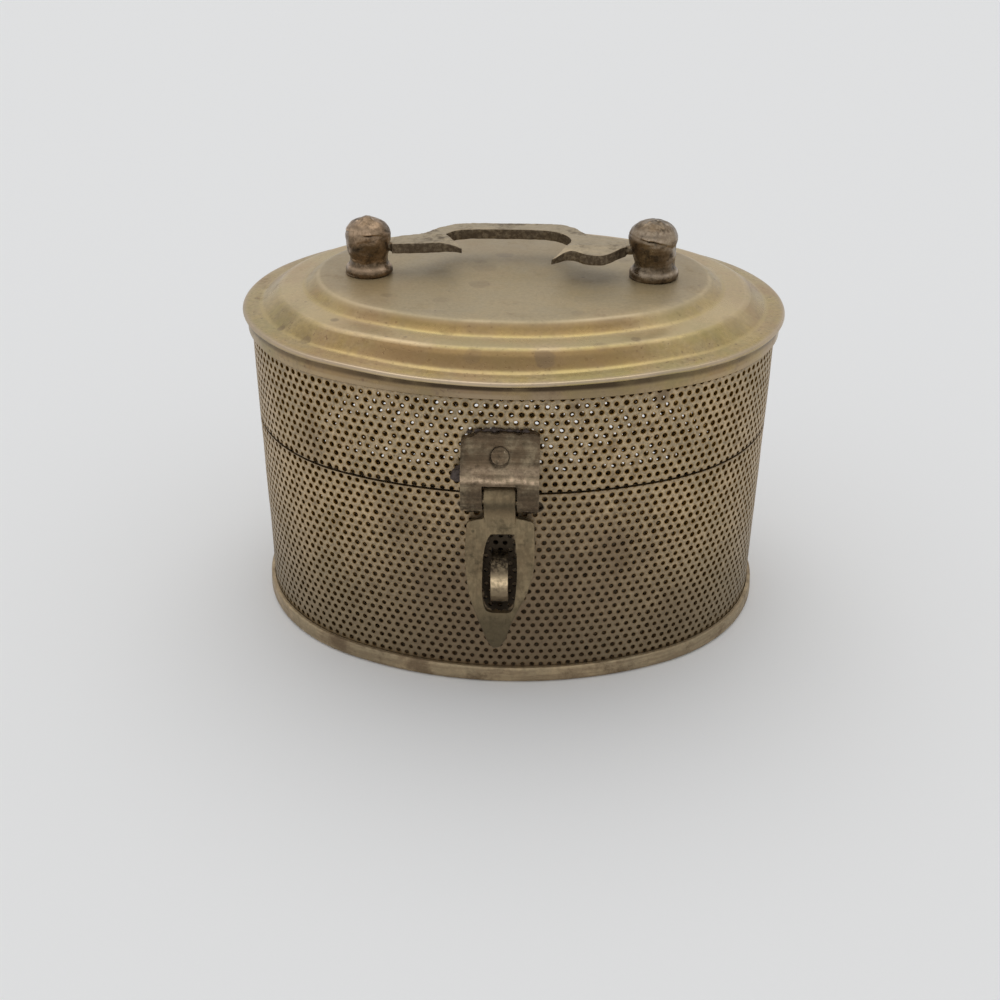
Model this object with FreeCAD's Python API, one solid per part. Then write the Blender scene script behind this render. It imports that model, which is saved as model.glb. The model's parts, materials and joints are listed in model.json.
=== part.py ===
import FreeCAD, Part
import math
import os

from FreeCAD import Vector

# Small oval brass box with a pierced wall, a hinged lid, a swinging handle and a hasp.
# Millimetres and degrees. X runs along the oval, Y towards the hinge, Z up.
# The origin is the middle of the oval on the underside of the base.

# Driving dimensions of the oval and its sheet
half_length = 38.2
half_width = 30.4
end_radius_inset = 2.4
wall = 0.8
overrun = 2.0

# Body: pan, pierced wall and the collar that locates the lid
base_sheet = 0.9
foot_height = 2.4
foot_proud = 0.7
seam_height = 30.2
seam_gap = 0.2
collar_sheet = 0.6
collar_clearance = 0.3
collar_above_seam = 2.5
collar_below_seam = 4.5

# Lid: skirt, turned down band, rolled rim and stepped top, stacked up from the seam
skirt_height = 15.8
band_depth = 2.1
band_sheet = 0.45
rim_rise = 0.4
rim_overhang = 1.05
rim_bead_radius = 0.62
lid_sheet = 0.7
flange_start_inset = 0.2
flange_start_rise = 0.6
flange_width = 2.9
flange_rise = 0.35
crest_width = 1.4
crest_rise = 1.55
land_width = 3.5
land_rise = 0.15
flat_slope_width = 2.2
flat_rise = 1.55
rim_turn_shares = (-60, 0, 60)

# Knob posts that carry the handle
post_inset = 7.55
trim_shift = -0.45
post_forward = 1.7
post_flange_radius = 3.4
post_flange_edge = 0.45
post_flange_height = 1.4
post_foot_slope = 0.8
post_neck_radius = 2.6
post_neck_height = 3.4
post_dome_radius = 3.3
post_dome_rise = 2.2
nub_radius = 1.3
nub_rise = 0.6
dome_turn_shares = (0, 25, 45, 62)
tenon_radius = 1.2
peen_radius = 1.9
peen_height = 0.9
washer_radius = 3.0
washer_sheet = 0.6
post_fit = 0.05

# Handle: a flat plate cut to a loop with two pointed cusps
handle_sheet = 1.4
stub_radius = 0.72
stub_clearance = 0.08
stub_end_gap = 0.3
stub_depth = 2.6
arm_end_gap = 0.4
arm_back = 2.2
arm_front = 0.9
arm_corner_radius = 0.4
shoulder_back = 4.4
loop_rise = 5.7
loop_back_bar = 3.4
cusp_root_back = 0.1
cusp_root_radius = 1.6
cusp_front = 2.9
cusp_notch_front = 1.4
belly_front = 2.7
belly_radius = 2.0

# How far out along half the handle each place lies, as a share of its length
shoulder_share = 0.73
loop_outer_share = 0.645
loop_inner_share = 0.537
cusp_notch_share = 0.531
cusp_root_share = 0.513
cusp_share = 0.382

# Roundings of the handle, as shares of the stretch that each one turns from
shoulder_round_share = 0.85
loop_outer_round_share = 0.66
loop_inner_round_share = 0.475

# Back hinge
hinge_width = 14.0
hinge_middle = 5.0
hinge_slack = 0.15
hinge_pin_radius = 0.7
hinge_bore_clearance = 0.05
hinge_knuckle_sheet = 0.85
hinge_wall_gap = 0.3
leaf_sheet = 0.8
leaf_root = 1.9
leaf_edge = 3.2
rivet_radius = 0.65
rivet_head_radius = 1.15
rivet_head_height = 0.45
rivet_inside_height = 0.4
rivet_head_clearance = 0.15
hinge_rivet_half_spacing = 4.4
pin_head_radius = 1.15
pin_head_length = 0.5

# Hasp on the lid front, its heights counted from the seam
latch_shift = -0.7
hasp_ear_width = 2.85
hasp_notch_clearance = 0.2
hasp_sheet = 0.9
hasp_lean_height = 5.6
hasp_ridge_rise = 3.8
hasp_ear_drop = 0.7
hasp_wall_gap = 0.35
hasp_lip = 0.8
hasp_pin_radius = 0.7
hasp_pin_fit = 0.025
hasp_pin_rise = 1.0
hasp_rivet_drop = 2.7
hasp_rivet_head_radius = 1.15
hasp_rivet_head_height = 0.15
solder_side = 0.9

# Hasp tongue, from the pin down to the tip, and the staple that it closes over
tongue_sheet = 0.8
tongue_neck_half = 2.05
tongue_rest_angle = 7.4
tongue_bore_clearance = 0.05
tongue_neck_length = 4.3
tongue_shoulder_side = 2.15
tongue_shoulder_length = 4.2
tongue_wide_side = 2.5
tongue_wide_length = 5.2
tongue_waist_side = 1.95
tongue_waist_length = 4.2
tongue_taper_half = 2.4
tongue_taper_length = 3.3
tongue_point_half = 1.3
tongue_point_length = 1.8
tongue_tip_half = 0.35
wrap_end_gap = 0.3
slot_side_clearance = 0.85
slot_end_clearance = 0.2
slot_corner_radius = 1.0
slot_top_gap = 1.6
slot_length = 11.6
staple_width = 2.4
staple_sheet = 0.9
staple_reach = 3.2
staple_half_height = 3.8
staple_tail = 0.9
staple_tail_turn = 1.6

# Places worked out for the oval
end_radius = half_width - end_radius_inset
side_radius = (half_width ** 2 + half_length ** 2 - 2 * half_length * end_radius) / (
    2 * end_radius_inset
)
end_centre = half_length - end_radius
side_centre = side_radius - half_width
turn_angle = math.degrees(math.atan2(side_centre, end_centre))

# Heights and insets worked out for the lid
lid_low = seam_height + seam_gap
skirt_top = seam_height + skirt_height
band_low = skirt_top - band_depth
rim_height = skirt_top + rim_rise
flange_start_height = rim_height + flange_start_rise
flange_end_height = flange_start_height + flange_rise
crest_height = flange_end_height + crest_rise
land_height = crest_height + land_rise
flat_height = land_height + flat_rise
flange_end_inset = flange_start_inset + flange_width
crest_inset = flange_end_inset + crest_width
land_inset = crest_inset + land_width
flat_inset = land_inset + flat_slope_width

# Places worked out for the posts and the handle
post_half_spacing = half_length - flat_inset - post_inset
post_neck_low = post_flange_height + post_foot_slope
post_dome_height = post_neck_low + post_neck_height
tenon_length = lid_sheet + washer_sheet + peen_height
pivot_height = flat_height + post_neck_low + post_neck_height / 2
arm_end = post_half_spacing - post_dome_radius - arm_end_gap
shoulder_half = arm_end * shoulder_share
loop_outer_half = arm_end * loop_outer_share
loop_inner_half = arm_end * loop_inner_share
loop_back = shoulder_back + loop_rise
loop_inner_back = loop_back - loop_back_bar
shoulder_radius = (shoulder_half - loop_outer_half) * shoulder_round_share
loop_outer_radius = loop_rise * loop_outer_round_share
loop_inner_radius = loop_inner_back * loop_inner_round_share

# Places worked out for the back hinge
hinge_knuckle_radius = hinge_pin_radius + hinge_bore_clearance + hinge_knuckle_sheet
hinge_axis_y = half_width + hinge_wall_gap + hinge_knuckle_radius
hinge_rivet_drop = collar_below_seam + rivet_head_radius + rivet_head_clearance
leaf_height = hinge_rivet_drop + leaf_edge

# Places worked out for the hasp, its tongue and the staple
hasp_notch_width = 2 * (tongue_neck_half + hasp_notch_clearance)
hasp_width = hasp_notch_width + 2 * hasp_ear_width
hasp_ridge = seam_height + hasp_ridge_rise
hasp_top = hasp_ridge + hasp_lean_height
hasp_foot = seam_height - hasp_ear_drop
hasp_notch_top = hasp_ridge - hasp_lip
hasp_pin_height = seam_height + hasp_pin_rise
hasp_rivet_height = hasp_top - hasp_rivet_drop
hasp_loop_slot = 2 * (hasp_pin_radius + hasp_pin_fit)
hasp_pin_out = hasp_wall_gap + hasp_sheet + hasp_loop_slot / 2
hasp_front_out = hasp_pin_out + hasp_loop_slot / 2 + hasp_sheet
tongue_bore_radius = hasp_pin_radius + tongue_bore_clearance
tongue_knuckle_radius = hasp_front_out - hasp_pin_out
slot_half = staple_width / 2 + slot_side_clearance
slot_top_drop = tongue_neck_length + slot_top_gap
slot_bottom_drop = slot_top_drop + slot_length
staple_height = hasp_pin_height - slot_bottom_drop + slot_end_clearance + staple_half_height


def oval_wire(offset, height):
    """The oval as four tangent arcs, grown or shrunk by offset, at a height."""
    points = []
    for degrees in (-turn_angle, 0, turn_angle):
        points.append(arc_point(end_centre, 0, end_radius + offset, degrees, height))
    for degrees in (90, 180 - turn_angle):
        points.append(arc_point(0, -side_centre, side_radius + offset, degrees, height))
    points[-1] = mirrored(points[2])
    points.append(Vector(-half_length - offset, 0, height))
    points.append(mirrored(points[0]))
    points.append(arc_point(0, side_centre, side_radius + offset, -90, height))
    ring = points + [points[0]]
    arcs = [Part.Arc(ring[i], ring[i + 1], ring[i + 2]).toShape() for i in (0, 2, 4, 6)]
    return Part.Wire(arcs)


def arc_point(x, y, radius, degrees, height):
    angle = math.radians(degrees)
    return Vector(x + radius * math.cos(angle), y + radius * math.sin(angle), height)


def mirrored(point):
    return Vector(-point.x, point.y, point.z)


def oval_prism(offset, low, high):
    face = Part.Face(oval_wire(offset, low))
    return face.extrude(Vector(0, 0, high - low))


def oval_tube(outer, inner, low, high):
    bore = oval_prism(inner, low - overrun, high + overrun)
    return oval_prism(outer, low, high).cut(bore)


def oval_ring(profile):
    """A closed (offset, height) outline carried round the oval as four turned sectors."""
    sectors = []
    places = (
        (end_centre, 0, end_radius, -turn_angle, 2 * turn_angle),
        (0, -side_centre, side_radius, turn_angle, 180 - 2 * turn_angle),
        (-end_centre, 0, end_radius, 180 - turn_angle, 2 * turn_angle),
        (0, side_centre, side_radius, 180 + turn_angle, 180 - 2 * turn_angle),
    )
    for x, y, radius, start, sweep in places:
        points = [Vector(radius + offset, 0, height) for offset, height in profile]
        face = Part.Face(Part.makePolygon(points + [points[0]]))
        sector = face.revolve(Vector(0, 0, 0), Vector(0, 0, 1), sweep)
        sector.rotate(Vector(0, 0, 0), Vector(0, 0, 1), start)
        sector.translate(Vector(x, y, 0))
        sectors.append(sector)
    return sectors[0].fuse(sectors[1:]).removeSplitter()


def under_chain(points, distance):
    """The chain moved square to itself by distance, with mitred corners."""
    moved = []
    for index, point in enumerate(points):
        before = direction(points[max(index - 1, 0)], points[max(index, 1)])
        last = len(points) - 1
        after = direction(points[min(index, last - 1)], points[min(index + 1, last)])
        normal = (before[1] + after[1], -before[0] - after[0])
        scale = 1 + before[0] * after[0] + before[1] * after[1]
        moved.append((point[0] + normal[0] * distance / scale, point[1] + normal[1] * distance / scale))
    return moved


def direction(start, end):
    length = math.hypot(end[0] - start[0], end[1] - start[1])
    return ((end[0] - start[0]) / length, (end[1] - start[1]) / length)


def turned(profile, x, y):
    """A solid of revolution from (radius, height) points about the upright line through x, y."""
    points = [Vector(radius, 0, height) for radius, height in profile]
    face = Part.Face(Part.makePolygon(points + [points[0]]))
    solid = face.revolve(Vector(0, 0, 0), Vector(0, 0, 1), 360)
    solid.translate(Vector(x, y, 0))
    return solid


def rounded_face(corners, low, thickness):
    """A flat plate from (x, y, radius) corners, each corner turned by a tangent arc."""
    edges = []
    ends = []
    count = len(corners)
    for index in range(count):
        x, y, radius = corners[index]
        back = direction((x, y), corners[index - 1][:2])
        ahead = direction((x, y), corners[(index + 1) % count][:2])
        corner = Vector(x, y, low)
        if not radius:
            ends.append((corner, corner))
            continue
        half_turn = math.acos(back[0] * ahead[0] + back[1] * ahead[1]) / 2
        reach = radius / math.tan(half_turn)
        start = corner + Vector(back[0], back[1], 0) * reach
        end = corner + Vector(ahead[0], ahead[1], 0) * reach
        middle = Vector(back[0] + ahead[0], back[1] + ahead[1], 0).normalize()
        crown = corner + middle * (radius / math.sin(half_turn) - radius)
        edges.append(Part.Arc(start, crown, end).toShape())
        ends.append((start, end))
    for index in range(count):
        start = ends[index][1]
        end = ends[(index + 1) % count][0]
        edges.append(Part.LineSegment(start, end).toShape())
    wire = Part.Wire(Part.__sortEdges__(edges))
    return Part.Face(wire).extrude(Vector(0, 0, thickness))


def side_profile(points, low_x, high_x):
    """Extrudes a closed outline of (y, z) points from low_x to high_x."""
    wire = Part.makePolygon([Vector(low_x, y, z) for y, z in points + [points[0]]])
    return Part.Face(wire).extrude(Vector(high_x - low_x, 0, 0))


def rod_x(radius, low_x, high_x, y, z):
    return Part.makeCylinder(radius, high_x - low_x, Vector(low_x, y, z), Vector(1, 0, 0))


def rod_y(radius, low_y, high_y, x, z):
    return Part.makeCylinder(radius, high_y - low_y, Vector(x, low_y, z), Vector(0, 1, 0))


def export(shape, node):
    """Writes a node and prints what it holds."""
    shape.exportStep("parts/" + node + ".step")
    print(node, "solids", len(shape.Solids), "volume", round(shape.Volume, 2), "valid", shape.isValid())


def wall_y(x, offset):
    """How far the oval's side stands out in Y at a place along it."""
    return math.sqrt((side_radius + offset) ** 2 - x ** 2) - side_centre


def base_pan():
    """The flat floor with a plain band turned up round the foot of the wall."""
    floor = oval_prism(foot_proud, 0, base_sheet)
    band = oval_tube(foot_proud, 0, 0, foot_height)
    return floor.fuse(band).removeSplitter()


def seat_collar():
    """An inner band that fits the body wall and stands up inside the lid."""
    top = seam_height + collar_above_seam
    low = seam_height - collar_below_seam
    inner = -wall - collar_clearance - collar_sheet
    lower = oval_tube(-wall, inner, low, seam_height)
    upper = oval_tube(-wall - collar_clearance, inner, seam_height, top)
    return lower.fuse(upper).removeSplitter()


def rim_points():
    """The rolled rim, in offset and height, from its underside round to its top."""
    centre = rim_overhang - rim_bead_radius
    points = []
    for degrees in rim_turn_shares:
        angle = math.radians(degrees)
        across = centre + rim_bead_radius * math.cos(angle)
        points.append((across, rim_height + rim_bead_radius * math.sin(angle)))
    return points


def lid_top():
    """The stepped cover with its rolled rim and the band turned down over the skirt."""
    step = [
        (-flange_end_inset, flange_end_height),
        (-crest_inset, crest_height),
        (-land_inset, land_height),
        (-flat_inset, flat_height),
    ]
    top = [(band_sheet, band_low), (band_sheet, rim_height - rim_bead_radius)]
    top += rim_points() + [(-flange_start_inset, flange_start_height)] + step
    under = under_chain(step, -lid_sheet)
    under[-1] = (-flat_inset, flat_height - lid_sheet)
    under.reverse()
    ring = oval_ring(top + under + [(-wall, skirt_top), (0, skirt_top), (0, band_low)])
    cover = ring.fuse(oval_prism(-flat_inset, flat_height - lid_sheet, flat_height)).removeSplitter()
    for x in post_places():
        hole = Part.makeCylinder(tenon_radius + post_fit, lid_sheet + 2 * overrun,
                                 Vector(x, -post_forward, flat_height - lid_sheet - overrun))
        cover = cover.cut(hole)
    return cover


def post_places():
    return (trim_shift - post_half_spacing, trim_shift + post_half_spacing)


def knob_post(x, inward):
    """A turned knob with a cross hole for the handle and a tenon peened under the lid."""
    seat = flat_height
    washer_low = seat - lid_sheet - washer_sheet
    outline = [
        (0, seat - tenon_length),
        (peen_radius / 2, seat - tenon_length),
        (peen_radius, washer_low - peen_height / 3),
        (peen_radius, washer_low),
        (tenon_radius, washer_low),
        (tenon_radius, seat),
        (post_flange_radius - post_flange_edge, seat),
        (post_flange_radius, seat + post_flange_edge),
        (post_flange_radius, seat + post_flange_height - post_flange_edge),
        (post_flange_radius - post_flange_edge, seat + post_flange_height),
        (post_neck_radius, seat + post_neck_low),
    ]
    for degrees in dome_turn_shares:
        angle = math.radians(degrees)
        height = seat + post_dome_height + post_dome_rise * math.sin(angle)
        outline.append((post_dome_radius * math.cos(angle), height))
    outline += [
        (nub_radius, seat + post_dome_height + post_dome_rise),
        (nub_radius / 2, seat + post_dome_height + post_dome_rise + nub_rise),
        (0, seat + post_dome_height + post_dome_rise + nub_rise),
    ]
    post = turned(outline, x, -post_forward)
    hole_end = post_half_spacing - arm_end - stub_depth - stub_end_gap
    reach = post_dome_radius + overrun
    hole = rod_x(stub_radius + stub_clearance, hole_end, reach, -post_forward, pivot_height)
    if inward < 0:
        hole.rotate(Vector(0, -post_forward, pivot_height), Vector(0, 0, 1), 180)
    hole.translate(Vector(x, 0, 0))
    return post.cut(hole)


def post_washers():
    """Two washers between the lid sheet and the peened tenon ends."""
    low = flat_height - lid_sheet - washer_sheet
    rings = []
    for x in post_places():
        foot = Vector(x, -post_forward, low)
        disc = Part.makeCylinder(washer_radius, washer_sheet, foot)
        rings.append(disc.cut(Part.makeCylinder(tenon_radius + post_fit, washer_sheet, foot)))
    return Part.makeCompound(rings)


def handle():
    """The flat loop, its arms and cusps, and the round stubs that turn in the posts."""
    half = [
        (loop_outer_half, loop_back, loop_outer_radius),
        (loop_outer_half, shoulder_back, shoulder_radius),
        (shoulder_half, shoulder_back, 0),
        (arm_end, arm_back, arm_corner_radius),
        (arm_end, -arm_front, arm_corner_radius),
        (shoulder_half, -belly_front, belly_radius),
        (arm_end * cusp_notch_share, -cusp_notch_front, 0),
        (arm_end * cusp_share, -cusp_front, 0),
        (arm_end * cusp_root_share, cusp_root_back, cusp_root_radius),
        (loop_inner_half, loop_inner_back / 2, 0),
        (loop_inner_half, loop_inner_back, loop_inner_radius),
    ]
    low = pivot_height - handle_sheet / 2
    right = [(trim_shift + u, v - post_forward, radius) for u, v, radius in half]
    left = [(trim_shift - u, v - post_forward, radius) for u, v, radius in reversed(half)]
    pieces = [rounded_face(right + left, low, handle_sheet)]
    for side in (-1, 1):
        stub = rod_x(stub_radius, arm_end - stub_depth, arm_end + stub_depth, -post_forward, pivot_height)
        if side < 0:
            stub.rotate(Vector(0, -post_forward, pivot_height), Vector(0, 0, 1), 180)
        stub.translate(Vector(trim_shift, 0, 0))
        pieces.append(stub)
    return pieces[0].fuse(pieces[1:]).removeSplitter()


def hinge_leaf(up, spans):
    """A leaf on the back wall with its share of the knuckles; up is 1 for the lid, -1 for the body."""
    inner = half_width - leaf_sheet
    outer = half_width + leaf_sheet
    root = seam_height + up * leaf_root
    tip = seam_height + up * leaf_height
    leaf = side_profile([(inner, root), (outer, root), (outer, tip), (inner, tip)],
                        -hinge_width / 2, hinge_width / 2)
    bore = rod_x(hinge_pin_radius, -hinge_width, hinge_width, hinge_axis_y, seam_height)
    if up > 0:
        bore = rod_x(hinge_pin_radius + hinge_bore_clearance, -hinge_width, hinge_width,
                     hinge_axis_y, seam_height)
    pieces = []
    for low_x, high_x in spans:
        knuckle = rod_x(hinge_knuckle_radius, low_x, high_x, hinge_axis_y, seam_height)
        near = hinge_axis_y - hinge_knuckle_radius
        web = side_profile([
            (near, seam_height),
            (near + hinge_knuckle_sheet, seam_height),
            (near + hinge_knuckle_sheet, root),
            (outer, root + up * leaf_sheet),
            (inner, root + up * leaf_sheet),
            (inner, root),
            (near, root),
        ], low_x, high_x)
        pieces += [knuckle, web]
    leaf = leaf.fuse(pieces).cut(bore)
    low = min(seam_height, tip) - overrun
    high = max(seam_height, tip) + overrun
    leaf = leaf.cut(oval_prism(0, low, high))
    for x in (-hinge_rivet_half_spacing, hinge_rivet_half_spacing):
        leaf = leaf.cut(rod_y(rivet_radius, 0, outer + overrun, x, rivet_height(up)))
    return leaf.removeSplitter()


def rivet_height(up):
    return seam_height + up * hinge_rivet_drop


def hinge_rivets(up):
    """Two rivets through a leaf and the wall, headed outside and spread inside."""
    outer = half_width + leaf_sheet
    rivets = []
    for x in (-hinge_rivet_half_spacing, hinge_rivet_half_spacing):
        inside = wall_y(abs(x) + rivet_head_radius, -wall)
        shank = rod_y(rivet_radius, inside, outer, x, rivet_height(up))
        head = rod_y(rivet_head_radius, outer, outer + rivet_head_height, x, rivet_height(up))
        spread = rod_y(rivet_head_radius, inside - rivet_inside_height, inside, x, rivet_height(up))
        rivets.append(shank.fuse([head, spread]).removeSplitter())
    return Part.makeCompound(rivets)


def hinge_pin():
    """The pin with a head on each side of the knuckles."""
    half = hinge_width / 2
    rod = rod_x(hinge_pin_radius, -half, half, hinge_axis_y, seam_height)
    left = rod_x(pin_head_radius, -half - pin_head_length, -half, hinge_axis_y, seam_height)
    right = rod_x(pin_head_radius, half, half + pin_head_length, hinge_axis_y, seam_height)
    return rod.fuse([left, right]).removeSplitter()


def out_y(distance):
    """The Y of a place that stands a distance out from the middle of the front wall."""
    return -half_width - distance


def hasp_plate():
    """The fixed plate: a leaning face, and below it two ears folded round the pin."""
    low_x = latch_shift - hasp_width / 2
    high_x = latch_shift + hasp_width / 2
    face = [
        (out_y(-hasp_sheet), hasp_top),
        (out_y(hasp_sheet), hasp_top),
        (out_y(hasp_front_out), hasp_ridge),
        (out_y(hasp_front_out), hasp_ridge - hasp_sheet),
        (out_y(hasp_front_out - hasp_sheet), hasp_ridge - hasp_sheet),
        (out_y(-hasp_sheet), hasp_top - hasp_sheet),
    ]
    plate = side_profile(face, low_x, high_x)
    radius = hasp_front_out / 2 - hasp_wall_gap / 2
    back = out_y(hasp_wall_gap)
    front = out_y(hasp_front_out)
    foot = hasp_foot + radius / 2
    ears = side_profile([
        (back, foot),
        ((back + front) / 2 + radius / 2, hasp_foot),
        ((back + front) / 2 - radius / 2, hasp_foot),
        (front, foot),
        (front, hasp_ridge),
        (back, hasp_ridge),
    ], low_x, high_x)
    slot_low = hasp_pin_height
    slot = rod_x(hasp_loop_slot / 2, low_x - overrun, high_x + overrun, out_y(hasp_pin_out), slot_low)
    slot_high = hasp_ridge - hasp_sheet - hasp_loop_slot / 2
    slot = slot.fuse([
        rod_x(hasp_loop_slot / 2, low_x - overrun, high_x + overrun, out_y(hasp_pin_out), slot_high),
        Part.makeBox(hasp_width + 2 * overrun, hasp_loop_slot, slot_high - slot_low,
                     Vector(low_x - overrun, out_y(hasp_pin_out + hasp_loop_slot / 2), slot_low)),
    ])
    shape = plate.fuse(ears).cut(slot)
    notch_low = hasp_foot - overrun
    notch = Part.makeBox(hasp_notch_width, hasp_front_out + 2 * overrun, hasp_notch_top - notch_low,
                         Vector(latch_shift - hasp_notch_width / 2, out_y(hasp_front_out + overrun), notch_low))
    shape = shape.cut(notch)
    shape = shape.cut(oval_prism(0, notch_low, hasp_top + overrun))
    return shape.cut(hasp_rivet_shank()).removeSplitter()


def hasp_rivet_shank():
    reach = hasp_front_out + overrun
    return rod_y(rivet_radius, out_y(reach), -half_width + wall + overrun, latch_shift, hasp_rivet_height)


def hasp_slope_out(height):
    """How far the leaning face stands off the wall at a height."""
    share = (hasp_top - height) / (hasp_top - hasp_ridge)
    return hasp_sheet + share * (hasp_front_out - hasp_sheet)


def hasp_solder():
    """The bed of solder that fills the wedge behind the leaning face."""
    low_x = latch_shift - hasp_width / 2 - solder_side
    high_x = latch_shift + hasp_width / 2
    high = hasp_rivet_height + hasp_rivet_head_radius
    wedge = side_profile([
        (out_y(-hasp_sheet), high),
        (out_y(hasp_slope_out(high)), high),
        (out_y(hasp_slope_out(hasp_ridge)), hasp_ridge),
        (out_y(hasp_wall_gap), hasp_notch_top),
        (out_y(-hasp_sheet), hasp_notch_top),
    ], low_x, high_x)
    edge = side_profile([
        (out_y(hasp_wall_gap + hasp_sheet), hasp_notch_top - overrun),
        (out_y(hasp_front_out + overrun), hasp_notch_top - overrun),
        (out_y(hasp_front_out + overrun), high + overrun),
        (out_y(hasp_wall_gap + hasp_sheet), high + overrun),
    ], low_x - overrun, latch_shift - hasp_width / 2)
    wedge = wedge.cut([hasp_plate(), edge, oval_prism(0, hasp_foot, hasp_top), hasp_rivet_shank()])
    return max(wedge.Solids, key=lambda solid: solid.Volume)


def hasp_rivet():
    """The rivet through the leaning face, its bed and the skirt."""
    face = out_y(hasp_slope_out(hasp_rivet_height))
    inside = -wall_y(abs(latch_shift) + rivet_head_radius, -wall)
    shank = rod_y(rivet_radius, face, inside, latch_shift, hasp_rivet_height)
    tilt = math.degrees(math.atan2(hasp_front_out - hasp_sheet, hasp_top - hasp_ridge))
    head = rod_y(hasp_rivet_head_radius, face - hasp_rivet_head_height, face, latch_shift, hasp_rivet_height)
    head.rotate(Vector(latch_shift, face, hasp_rivet_height), Vector(1, 0, 0), -tilt)
    spread = rod_y(rivet_head_radius, inside, inside + rivet_inside_height, latch_shift, hasp_rivet_height)
    return shank.fuse([head, spread]).cut(hasp_plate()).removeSplitter()


def hasp_pin():
    half = hasp_width / 2
    return rod_x(hasp_pin_radius, latch_shift - half, latch_shift + half, out_y(hasp_pin_out), hasp_pin_height)


def tongue_outline():
    """The tongue's edge from the neck to the tip, as distance from its middle and drop below the pin."""
    wide_drop = tongue_neck_length + tongue_shoulder_length
    waist_drop = wide_drop + tongue_wide_length
    taper_drop = waist_drop + tongue_waist_length
    point_drop = taper_drop + tongue_taper_length
    return [
        (tongue_neck_half, 0),
        (tongue_neck_half, tongue_neck_length),
        (slot_half + tongue_shoulder_side, tongue_neck_length + tongue_sheet),
        (slot_half + tongue_wide_side, wide_drop),
        (slot_half + tongue_waist_side, waist_drop),
        (tongue_taper_half, taper_drop),
        (tongue_point_half, point_drop),
        (tongue_tip_half, point_drop + tongue_point_length),
    ]


def hasp_tongue():
    """The slotted tongue, its strip wrapped round the pin from behind, tipped clear of the staple."""
    right = [(latch_shift + u, hasp_pin_height - s) for u, s in tongue_outline()]
    left = [(latch_shift - u, hasp_pin_height - s) for u, s in reversed(tongue_outline())]
    back = out_y(hasp_pin_out - tongue_knuckle_radius)
    ring = [Vector(x, back, z) for x, z in right + left]
    sheet = Part.Face(Part.makePolygon(ring + [ring[0]])).extrude(Vector(0, -tongue_sheet, 0))
    low_x = latch_shift - tongue_neck_half
    high_x = latch_shift + tongue_neck_half
    knuckle = rod_x(tongue_knuckle_radius, low_x, high_x, out_y(hasp_pin_out), hasp_pin_height)
    front = out_y(hasp_pin_out + tongue_knuckle_radius)
    wrap_end = hasp_pin_height - tongue_neck_length + wrap_end_gap
    wrap = side_profile([
        (front, hasp_pin_height),
        (front + tongue_sheet, hasp_pin_height),
        (back - tongue_sheet, wrap_end + tongue_sheet),
        (back - tongue_sheet, wrap_end),
        (back - 2 * tongue_sheet, wrap_end),
    ], low_x, high_x)
    corners = [
        (slot_half, slot_top_drop, slot_corner_radius),
        (slot_half, slot_bottom_drop, slot_corner_radius),
        (-slot_half, slot_bottom_drop, slot_corner_radius),
        (-slot_half, slot_top_drop, slot_corner_radius),
    ]
    slot = rounded_face(corners, -overrun, 2 * overrun)
    slot.rotate(Vector(0, 0, 0), Vector(1, 0, 0), -90)
    slot.translate(Vector(latch_shift, back, hasp_pin_height))
    bore = rod_x(tongue_bore_radius, low_x - overrun, high_x + overrun, out_y(hasp_pin_out), hasp_pin_height)
    tongue = sheet.fuse([knuckle, wrap]).cut([slot, bore]).removeSplitter()
    tongue.rotate(Vector(latch_shift, out_y(hasp_pin_out), hasp_pin_height), Vector(1, 0, 0), -tongue_rest_angle)
    return tongue


def staple():
    """The bent strap on the body front, its two tails passed through the wall and turned over."""
    low_x = latch_shift - staple_width / 2
    outer = staple_arch(staple_reach, staple_half_height, low_x)
    inner = staple_arch(staple_reach - staple_sheet, staple_half_height - staple_sheet, low_x)
    arch = outer.cut(inner)
    tails = []
    for side in (-1, 1):
        low = staple_height + side * (staple_half_height - staple_sheet / 2) - staple_sheet / 2
        inside = wall + staple_tail
        tail = Part.makeBox(staple_width, inside, staple_sheet, Vector(low_x, -half_width, low))
        turn_low = min(low, low + side * staple_tail_turn)
        turn = Part.makeBox(staple_width, staple_tail, staple_tail_turn + staple_sheet,
                            Vector(low_x, -half_width + wall, turn_low))
        tails += [tail, turn]
    return arch.fuse(tails).removeSplitter()


def staple_arch(reach, half_height, low_x):
    """Half an oval bar that stands out from the front wall."""
    centre = Vector(low_x, -half_width, staple_height)
    long = max(reach, half_height)
    short = min(reach, half_height)
    upright = half_height >= reach
    axis_end = Vector(0, 0, long) if upright else Vector(0, -long, 0)
    side_end = Vector(0, -short, 0) if upright else Vector(0, 0, short)
    curve = Part.Ellipse(centre + axis_end, centre + side_end, centre).toShape()
    bar = Part.Face(Part.Wire(curve)).extrude(Vector(staple_width, 0, 0))
    inside = Part.makeBox(3 * staple_width, 2 * long, 4 * long,
                          Vector(low_x - staple_width, -half_width, staple_height - 2 * long))
    return bar.cut(inside)


def rivet_bores(up):
    """Holes for the hinge rivets, through whatever stands at the back."""
    return [rod_y(rivet_radius, 0, half_width + overrun, x, rivet_height(up))
            for x in (-hinge_rivet_half_spacing, hinge_rivet_half_spacing)]


def body_wall():
    """The pierced wall of the body, drawn plain, with the holes for its rivets and staple."""
    shell = oval_tube(0, -wall, base_sheet, seam_height)
    return shell.cut(rivet_bores(-1) + [staple()]).removeSplitter()


def lid_wall():
    """The pierced skirt of the lid, drawn plain, with the holes for its rivets."""
    shell = oval_tube(0, -wall, lid_low, skirt_top)
    return shell.cut(rivet_bores(1) + [hasp_rivet_shank()]).removeSplitter()


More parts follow.
